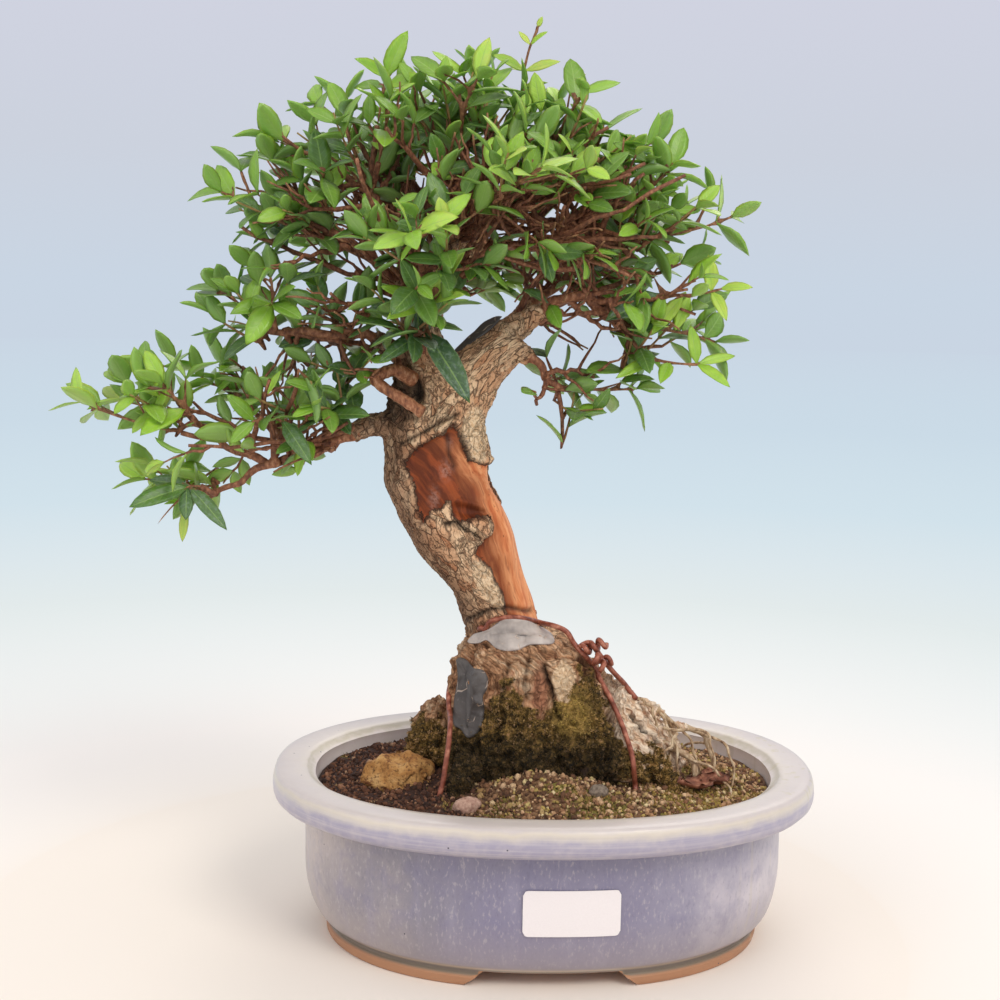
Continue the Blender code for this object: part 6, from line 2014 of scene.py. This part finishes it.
def tufts(count):
    """Small tufts of moss: a few leaning spikes each, one unit high."""
    shapes = []
    for i in range(count):
        rng = random.Random(90 + i)
        points, faces = [], []
        for _ in range(5):
            foot = Vector((rng.uniform(-0.4, 0.4), rng.uniform(-0.4, 0.4), -0.15))
            lean = Vector((rng.uniform(-0.45, 0.45), rng.uniform(-0.45, 0.45), rng.uniform(0.6, 1.0)))
            a, b, c, d = range(len(points), len(points) + 4)
            turn = rng.uniform(0, 6.28)
            for angle in (turn, turn + 2 * math.pi / 3, turn + 2 * math.pi * 2 / 3):
                points.append(tuple(foot + Vector((math.cos(angle), math.sin(angle), 0)) * 0.17))
            points.append(tuple(foot + lean))
            faces += [(c, b, a), (a, b, d), (b, c, d), (c, a, d)]
        shapes.append(((points, faces), {"along": [0.0, 0.0, 0.0, 1.0] * 5}))
    return shapes


def soil_rings(sides):
    rings, moss = [], []
    for z in (FLOOR_TOP + GAP, 36.0, 52.0):
        rings.append(oval(*[h - GAP for h in inner_half(z)], z, sides))
        moss.append([0.0] * sides)
    edge = [h - GAP for h in inner_half(SOIL_EDGE - 0.8)]
    rings.append(oval(*edge, SOIL_EDGE - 1.0, sides))
    moss.append([0.0] * sides)
    for i in range(44):
        share = 0.995 * (1 - i / 44) ** 0.8
        ring = oval(edge[0] * share, edge[1] * share, 0.0, sides)
        low = min(1.0, (1 - share) * 12)
        for p in ring:
            grit = 1.0 * noise.noise(p / 4.5) + 0.6 * noise.noise(p / 2.0) + 0.9 * noise.noise(p / 13)
            p.z = soil_height(p.x, p.y) + grit * low - 0.4
        rings.append(ring)
        moss.append([moss_on_soil(p.x, p.y) for p in ring])
    return rings, moss


def build_soil(settings):
    sides = 180
    rings, moss = soil_rings(sides)
    values = {"moss": [value for row in moss for value in row]}
    soil = make_object("soil_bed", loft(rings), soil_finish(settings), values)
    face_outwards(soil)
    finish_piece(soil, "soil", "soil")
    points, faces = loft(rings[SOIL_TOP_RING:])
    side = [float(smooth_step(-42.0, -12.0, p.x + 14 * noise.noise(p / 14))) for p in points]
    around = [1.0 if abs(p.x - 6) > 38 or abs(p.y - 2) > 24 else 0.0 for p in points]
    finish = grain_finish()
    shapes = shape_collection("crumb", crumbs(3, 5))
    tree = scatter_tree("granules on soil", False, 0.25)
    sizes = (("soil_granules", 1.0, 0.0010, 0.0024), ("soil_crumbs", 0.24, 0.0021, 0.0044))
    for name, share, least, most in sizes:
        grains = make_object(name, (points, faces[1:-1]), None, {"often": around, "side": side})
        face_outwards(grains, True)
        scatter(grains, tree, shapes, settings.granules * share, least, most, finish, "soil")
    discard(shapes)


def build_moss(settings, wood):
    shapes = shape_collection("tuft", tufts(5))
    tree = scatter_tree("moss tufts", True, -0.1)
    finish = moss_finish()
    rings, moss = soil_rings(150)
    points, faces = loft(rings[SOIL_TOP_RING:])
    often = [max(0.0, value - 0.3) for row in moss[SOIL_TOP_RING:] for value in row]
    bright = [min(1.0, max(0.0, 1.4 - math.hypot(p.x - 62, p.y + 30) / 22)) for p in points]
    ground = make_object("moss_on_soil", (points, faces[1:-1]), None, {"often": often, "bright": bright})
    face_outwards(ground, True)
    scatter(ground, tree, shapes, settings.moss, 0.0011, 0.0023, finish, "leaf")
    mesh = wood.data.copy()
    mesh.materials.clear()
    held = np.empty(len(mesh.vertices), dtype=np.float32)
    mesh.attributes["moss"].data.foreach_get("value", held)
    write_values(mesh, "often", np.clip(held - 0.45, 0, 1))
    stump = linked("moss_on_stump", mesh)
    scatter(stump, tree, shapes, settings.moss * 1.6, 0.0009, 0.0019, finish, "leaf")
    discard(shapes)


def build_stones():
    def chips(p):
        return 5.5 * noise.voronoi(p / 9.5)[0][0] - 2.2 + 0.9 * noise.noise(p / 2.8)

    ochre = rounded(merged_copy("stone_ochre"), "ochre_stone", ochre_finish(), 3, -0.4, chips)
    finish_piece(ochre, "stone", "stone_ochre")
    shades = {
        "pebble_pink": ((140, 100, 84), (208, 172, 150)),
        "pebble_grey": ((86, 72, 60), (150, 134, 116)),
    }
    for node, (dark, light) in shades.items():
        finish = pebble_finish(node.replace("_", " "), dark, light)
        work, name = merged_copy(node), f"{node}_smooth"
        pebble = rounded(work, name, finish, 2, 0.2, lambda p: 0.7 * noise.noise(p / 3))
        finish_piece(pebble, "pebble", node)


def surface_of(*names):
    """One search tree over these pieces."""
    points, faces = [], []
    for name in names:
        mesh = bpy.data.objects[name].data
        start = len(points)
        points += [vert.co.copy() for vert in mesh.vertices]
        faces += [tuple(start + i for i in face.vertices) for face in mesh.polygons]
    return BVHTree.FromPolygons(points, faces)


def laid_on(route, wood):
    """The route kept where the eye sees it, and laid on the wood where it crosses in front."""
    eye = Vector(EYE)
    ways, depths, limits = [], [], []
    for row in smooth_path(route, 6):
        point = Vector(row)
        way = (point - eye).normalized()
        far = (point - eye).length
        limit = None
        shows = point.z > 66 and (point.x > -28 or point.z < 100)
        hit = wood.ray_cast(placed(eye), way) if shows else (None,)
        if hit[0] is not None and abs(hit[3] / MM - far) < 16:
            far = limit = hit[3] / MM - WIRE_RADIUS * 0.7
        elif shows:
            limit = far + 20
        ways.append(way)
        depths.append(far)
        limits.append(limit)
    for _ in range(8):
        for i in range(1, len(depths) - 1):
            if limits[i] is not None:
                depths[i] = min(limits[i], (depths[i - 1] + depths[i] * 2 + depths[i + 1]) / 4)
    return [eye + way * far for way, far in zip(ways, depths)]


def coil(start, end, radius, turns):
    axis = (end - start).normalized()
    side = axis.cross(Vector((0, 1, 0))).normalized()
    other = axis.cross(side)
    path = []
    for i in range(int(18 * turns) + 1):
        angle = 2 * math.pi * i / 18
        out = (side * math.cos(angle) + other * math.sin(angle)) * radius
        path.append(start.lerp(end, i / (18 * turns)) + out)
    return path


def build_wires(wood):
    finish = wire_finish()
    path = laid_on(TIE_WIRE, wood)
    tie = tube(path, [WIRE_RADIUS] * len(path), 12)
    finish_piece(make_object("tie_wire_round", tie, finish), "wire", "tie_wire")
    path = laid_on(TWIST_WIRE, wood)
    coils = [coil(Vector(a), Vector(b), radius, turns) for a, b, radius, turns in WIRE_COILS]
    shapes = [tube(way, [WIRE_RADIUS] * len(way), 12) for way in (path, *coils)]
    finish_piece(make_object("twist_wire_round", joined(shapes), finish), "wire", "twist_wire")


def build_pastes(wood):
    for node, (deep, spine, outline, painted_shade) in PASTES.items():
        finish = paste_finish(node.replace("_", " "), painted_shade)
        paste = make_object(f"{node}_skin", draped_skin(deep, spine, outline, wood), finish)
        face_outwards(paste)
        finish_piece(paste, "paste", node)
    # The paste in the fork is darkened with painted shade.
    finish = paste_finish("paste fork", 0.85)
    work, name = merged_copy("paste_fork"), "paste_fork_skin"
    fork = rounded(work, name, finish, 3, 0.12, lambda p: 0.4 * noise.noise(p / 5))
    finish_piece(fork, "paste", "paste_fork")


def draped_skin(deep, spine, outline, wood):
    """A thin skin inside an outline seen from the front, laid over the wood and its hollows."""
    ring = smooth_path([*outline, outline[0]], 7)[:-1]
    inner = smooth_path(spine, 8)
    eye = Vector(EYE)
    shares = (1.0, 0.96, 0.88, 0.76, 0.62, 0.46, 0.3, 0.14, 0.0)
    rays, depths = [], []
    for share in shares:
        ray_row, depth_row = [], []
        for x, z in ring:
            sx, sz = min(inner, key=lambda p: (p[0] - x) ** 2 + (p[1] - z) ** 2)
            way = (Vector((mix(sx, x, share), deep, mix(sz, z, share))) - eye).normalized()
            hit = wood.ray_cast(placed(eye), way)
            spare = depth_row[-1] if depth_row else (Vector((x, deep, z)) - eye).length
            far = hit[3] / MM if hit[0] else spare
            ray_row.append(way)
            depth_row.append(far)
        rays.append(ray_row)
        depths.append(depth_row)
    held = np.array(depths)
    soft = held.copy()
    for _ in range(14):
        near = (np.roll(soft, 1, axis=1) + np.roll(soft, -1, axis=1)) / 2
        rows = np.vstack([soft[:1], soft[:-1]]) + np.vstack([soft[1:], soft[-1:]])
        soft = np.minimum(soft * 0.2 + near * 0.4 + rows * 0.2, held + 0.2)
    rows = []
    for row, share in enumerate(shares):
        thick = 0.25 + 0.95 * float(smooth_step(1.0, 0.9, share))
        rows.append([eye + way * (far - thick) for way, far in zip(rays[row], soft[row])])
    back = [[eye + way * (far + 1.4) for way, far in zip(rays[row], soft[row])] for row in (8, 4, 0)]
    return loft(back + rows)


def build_fallen_leaves():
    finish = dry_leaf_finish()
    section = ((1, 1), (0.5, 1), (0, 1), (-0.5, 1), (-1, 1), (-0.5, -1), (0, -1), (0.5, -1))
    for node, ((x, y), turn, length, curl) in FALLEN_LEAVES.items():
        bend = math.radians(curl)
        radius = length / bend
        spin = Matrix.Rotation(math.radians(turn), 3, "Z")
        rings, across = [], []
        for i in range(37):
            share = i / 36
            angle = (share - 0.5) * bend
            middle = Vector((radius * math.sin(angle), 0, radius * (1 - math.cos(angle))))
            normal = Vector((-math.sin(angle), 0, math.cos(angle)))
            half = 0.35 + 7.0 * math.sin(math.pi * min(1.0, share * 0.97 + 0.015)) ** 0.8
            ring = []
            for s, up in section:
                torn = 1 + 0.3 * noise.noise(Vector((7 * share, 3 * s, curl)))
                fold = 2.6 * abs(s) ** 1.4 + 2.2 * s * noise.noise(Vector((4 * share, s, turn)))
                side = math.copysign(half * torn * math.sin(1.35 * abs(s)), s)
                rise = 0.5 + fold + (0.18 - 0.1 * abs(s)) * up
                ring.append(middle + Vector((0, side, 0)) + normal * rise)
                across.append(s)
            rings.append(ring)
        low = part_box(node)[0][2] / MM
        points, faces = loft(rings)
        points = [spin @ p + Vector((x, y, 0)) for p in points]
        lift = low + 0.2 - min(p.z for p in points)
        points = [p + Vector((0, 0, lift)) for p in points]
        leaf = make_object(f"{node}_dry", (points, faces), finish, {"across": across})
        face_outwards(leaf)
        finish_piece(leaf, "fallen_leaf", node)


def finish_screens():
    finish = screen_finish()
    for node in ("drain_screen_left", "drain_screen_right"):
        obj = frame["nodes"][node]
        obj.data.materials.clear()
        obj.data.materials.append(finish)


# Settings


def rgb(name, description, *shade):
    return FloatVectorProperty(
        name=name, description=description, default=colour(*shade)[:3], subtype="COLOR", min=0, max=1
    )


def number(name, description, default, **limits):
    return FloatProperty(name=name, description=description, default=default, **limits)


class BonsaiPotSettings(PropertyGroup):
    sides: IntProperty(name="Sides", description="Points round the pot's oval", default=200, min=32)
    body_colour: rgb("Glaze", "Lavender grey of the pot's front", 133, 128, 150)
    clay_colour: rgb("Clay", "Unglazed clay of the foot", 176, 128, 94)


class BonsaiWoodSettings(PropertyGroup):
    fineness: number(
        "Fineness", "Size of the grid that the wood is grown together on", 0.0009,
        min=0.0005, unit="LENGTH", precision=5,
    )
    bark_colour: rgb("Bark", "Flakes of the trunk's bark", 222, 176, 136)
    wood_colour: rgb("Bare wood", "Wood where the bark has gone", 104, 45, 14)
    twig_colour: rgb("Twigs", "Red brown of the thin twigs", 132, 82, 56)


class BonsaiLeafSettings(PropertyGroup):
    seed: IntProperty(name="Seed", description="Changes how the added shoots grow", default=61)
    fullness: number("Fullness", "Share of the added shoots that grow", 1.0, min=0, max=2)
    leaf_size: number("Leaf size", "Size of all leaves", 1.0, min=0.5, max=1.2)
    young_colour: rgb("Young leaves", "Yellow green of new leaves", 182, 216, 82)
    grown_colour: rgb("Grown leaves", "Green of grown leaves", 122, 162, 50)
    old_colour: rgb("Old leaves", "Grey green of inner leaves", 70, 98, 62)


class BonsaiGroundSettings(PropertyGroup):
    granules: number("Granules", "Granules on a square metre of soil", 330000.0, min=0)
    moss: number("Moss", "Tufts on a square metre of full moss", 700000.0, min=0)
    soil_colour: rgb("Soil", "Dark red brown of the soil", 76, 46, 34)


class BonsaiStageSettings(PropertyGroup):
    near_colour: rgb("Floor here", "Floor under the pot", 244, 235, 223)
    far_colour: rgb("Floor far off", "Floor in the distance", 201, 213, 227)
    daylight: number("Daylight", "Strength of the soft sky", 1.0, min=0)
    key_power: number("Key light", "Power of the large soft light", 36.0, min=0)


# Operators


class BONSAI_OT_pot(Operator):
    """Make the glazed pot"""

    bl_idname = "bonsai.pot"
    bl_label = "Glazed pot"

    def execute(self, context):
        build_pot(context.scene.bonsai_pot)
        return {"FINISHED"}


class BONSAI_OT_label(Operator):
    """Make the blank paper label"""

    bl_idname = "bonsai.label"
    bl_label = "Paper label"

    def execute(self, context):
        build_label()
        return {"FINISHED"}


class BONSAI_OT_wood(Operator):
    """Grow the stump, trunk and limbs, with moss on the stump and the soil"""

    bl_idname = "bonsai.wood"
    bl_label = "Stump, trunk and moss"

    def execute(self, context):
        wood = build_wood(context.scene.bonsai_wood)
        build_moss(context.scene.bonsai_ground, wood)
        return {"FINISHED"}


class BONSAI_OT_roots(Operator):
    """Make the pale roots over the soil"""

    bl_idname = "bonsai.roots"
    bl_label = "Pale roots"

    def execute(self, context):
        build_roots()
        return {"FINISHED"}


class BONSAI_OT_foliage(Operator):
    """Grow the boughs, twigs and leaves"""

    bl_idname = "bonsai.foliage"
    bl_label = "Boughs and leaves"

    def execute(self, context):
        build_foliage(context.scene.bonsai_leaves, context.scene.bonsai_wood)
        return {"FINISHED"}


class BONSAI_OT_soil(Operator):
    """Make the soil and its granules"""

    bl_idname = "bonsai.soil"
    bl_label = "Soil"

    def execute(self, context):
        build_soil(context.scene.bonsai_ground)
        return {"FINISHED"}


class BONSAI_OT_ground_pieces(Operator):
    """Make the stones and the fallen leaves"""

    bl_idname = "bonsai.ground_pieces"
    bl_label = "Stones and fallen leaves"

    def execute(self, context):
        build_stones()
        build_fallen_leaves()
        return {"FINISHED"}


class BONSAI_OT_bindings(Operator):
    """Make the wires, the cut paste and the drain meshes"""

    bl_idname = "bonsai.bindings"
    bl_label = "Wires, paste and drain meshes"

    def execute(self, context):
        build_wires(surface_of("bark_and_wood"))
        build_pastes(surface_of("bark_and_wood", "tie_wire_round"))
        finish_screens()
        return {"FINISHED"}


class BONSAI_OT_stage(Operator):
    """Set up the floor, the soft light and the camera"""

    bl_idname = "bonsai.stage"
    bl_label = "Floor, light and camera"

    def execute(self, context):
        settings = context.scene.bonsai_stage
        build_floor(settings)
        build_light(context, settings)
        build_camera(context)
        return {"FINISHED"}


def build_floor(settings):
    angles = np.linspace(0, 2 * math.pi, 96, False)
    ring = [Vector((FLOOR_REACH * math.cos(a), FLOOR_REACH * math.sin(a), 0)) for a in angles]
    floor = make_object("floor", (ring, [tuple(range(len(ring)))]), floor_finish(settings))


def build_light(context, settings):
    world = bpy.data.worlds.new("soft studio")
    world.use_nodes = True
    sky = Nodes(world.node_tree)
    height = sky.out("ShaderNodeSeparateXYZ", {0: sky.out("ShaderNodeTexCoord", output="Generated")}, "Z")
    stops = ((0.0, settings.far_colour), (0.08, 204, 210, 222), (0.19, 209, 211, 225), (1.0, 236, 236, 240))
    background = sky.tree.nodes["Background"].inputs
    sky.feed(background["Color"], sky.ramp(height, *stops))
    background["Strength"].default_value = settings.daylight
    context.scene.world = world
    lamps = (
        ("key", (1.2, -1.9, 2.2), 1.3, settings.key_power),
        ("fill", (-1.9, -1.5, 1.2), 1.8, settings.key_power * 0.3),
        ("back", (0.5, 2.0, 1.8), 1.6, settings.key_power * 0.35),
    )
    for name, spot, size, power in lamps:
        data = bpy.data.lights.new(name, "AREA")
        data.size = size
        data.energy = power
        data.color = (1.0, 0.95, 0.88)
        lamp = linked(name, data)
        lamp.location = spot
        aim = Vector((0, 0, 0.17)) - lamp.location
        lamp.rotation_euler = aim.to_track_quat("-Z", "Y").to_euler()


def build_camera(context):
    yaw, pitch, roll = (math.radians(a) for a in (-2.31, -7.61, 0.99))
    ahead = Vector((-math.sin(yaw) * math.cos(pitch), math.cos(yaw) * math.cos(pitch), math.sin(pitch)))
    right = Vector((math.cos(yaw), math.sin(yaw), 0))
    up = right.cross(ahead)
    right, up = right * math.cos(roll) + up * math.sin(roll), up * math.cos(roll) - right * math.sin(roll)
    data = bpy.data.cameras.new("camera")
    data.lens = 57.68
    data.sensor_width = 36.0
    camera = linked("camera", data)
    turn = Matrix((right, up, -ahead)).transposed().to_4x4()
    camera.matrix_world = Matrix.Translation(placed(EYE)) @ turn
    context.scene.camera = camera
    context.scene.view_settings.view_transform = "Standard"


class BONSAI_PT_pieces(Panel):
    """Lists the pieces and their settings"""

    bl_idname = "BONSAI_PT_pieces"
    bl_label = "Myrtle bonsai"
    bl_space_type = "VIEW_3D"
    bl_region_type = "UI"
    bl_category = "Bonsai"

    def draw(self, context):
        layout = self.layout
        for maker in OPERATORS:
            layout.operator(maker.bl_idname)
        for name, group in SETTINGS.items():
            box = layout.box()
            for key in group.__annotations__:
                box.prop(getattr(context.scene, name), key)


SETTINGS = {
    "bonsai_pot": BonsaiPotSettings,
    "bonsai_wood": BonsaiWoodSettings,
    "bonsai_leaves": BonsaiLeafSettings,
    "bonsai_ground": BonsaiGroundSettings,
    "bonsai_stage": BonsaiStageSettings,
}
OPERATORS = (
    BONSAI_OT_stage,
    BONSAI_OT_pot,
    BONSAI_OT_label,
    BONSAI_OT_soil,
    BONSAI_OT_wood,
    BONSAI_OT_roots,
    BONSAI_OT_bindings,
    BONSAI_OT_ground_pieces,
    BONSAI_OT_foliage,
)


def register():
    for group in (*SETTINGS.values(), *OPERATORS, BONSAI_PT_pieces):
        bpy.utils.register_class(group)
    for name, group in SETTINGS.items():
        setattr(bpy.types.Scene, name, PointerProperty(type=group))


def unregister():
    for name in SETTINGS:
        delattr(bpy.types.Scene, name)
    for group in reversed((*SETTINGS.values(), *OPERATORS, BONSAI_PT_pieces)):
        bpy.utils.unregister_class(group)


def main():
    register()
    for maker in OPERATORS:
        category, name = maker.bl_idname.split(".")
        getattr(getattr(bpy.ops, category), name)()


if __name__ == "__main__":
    main()
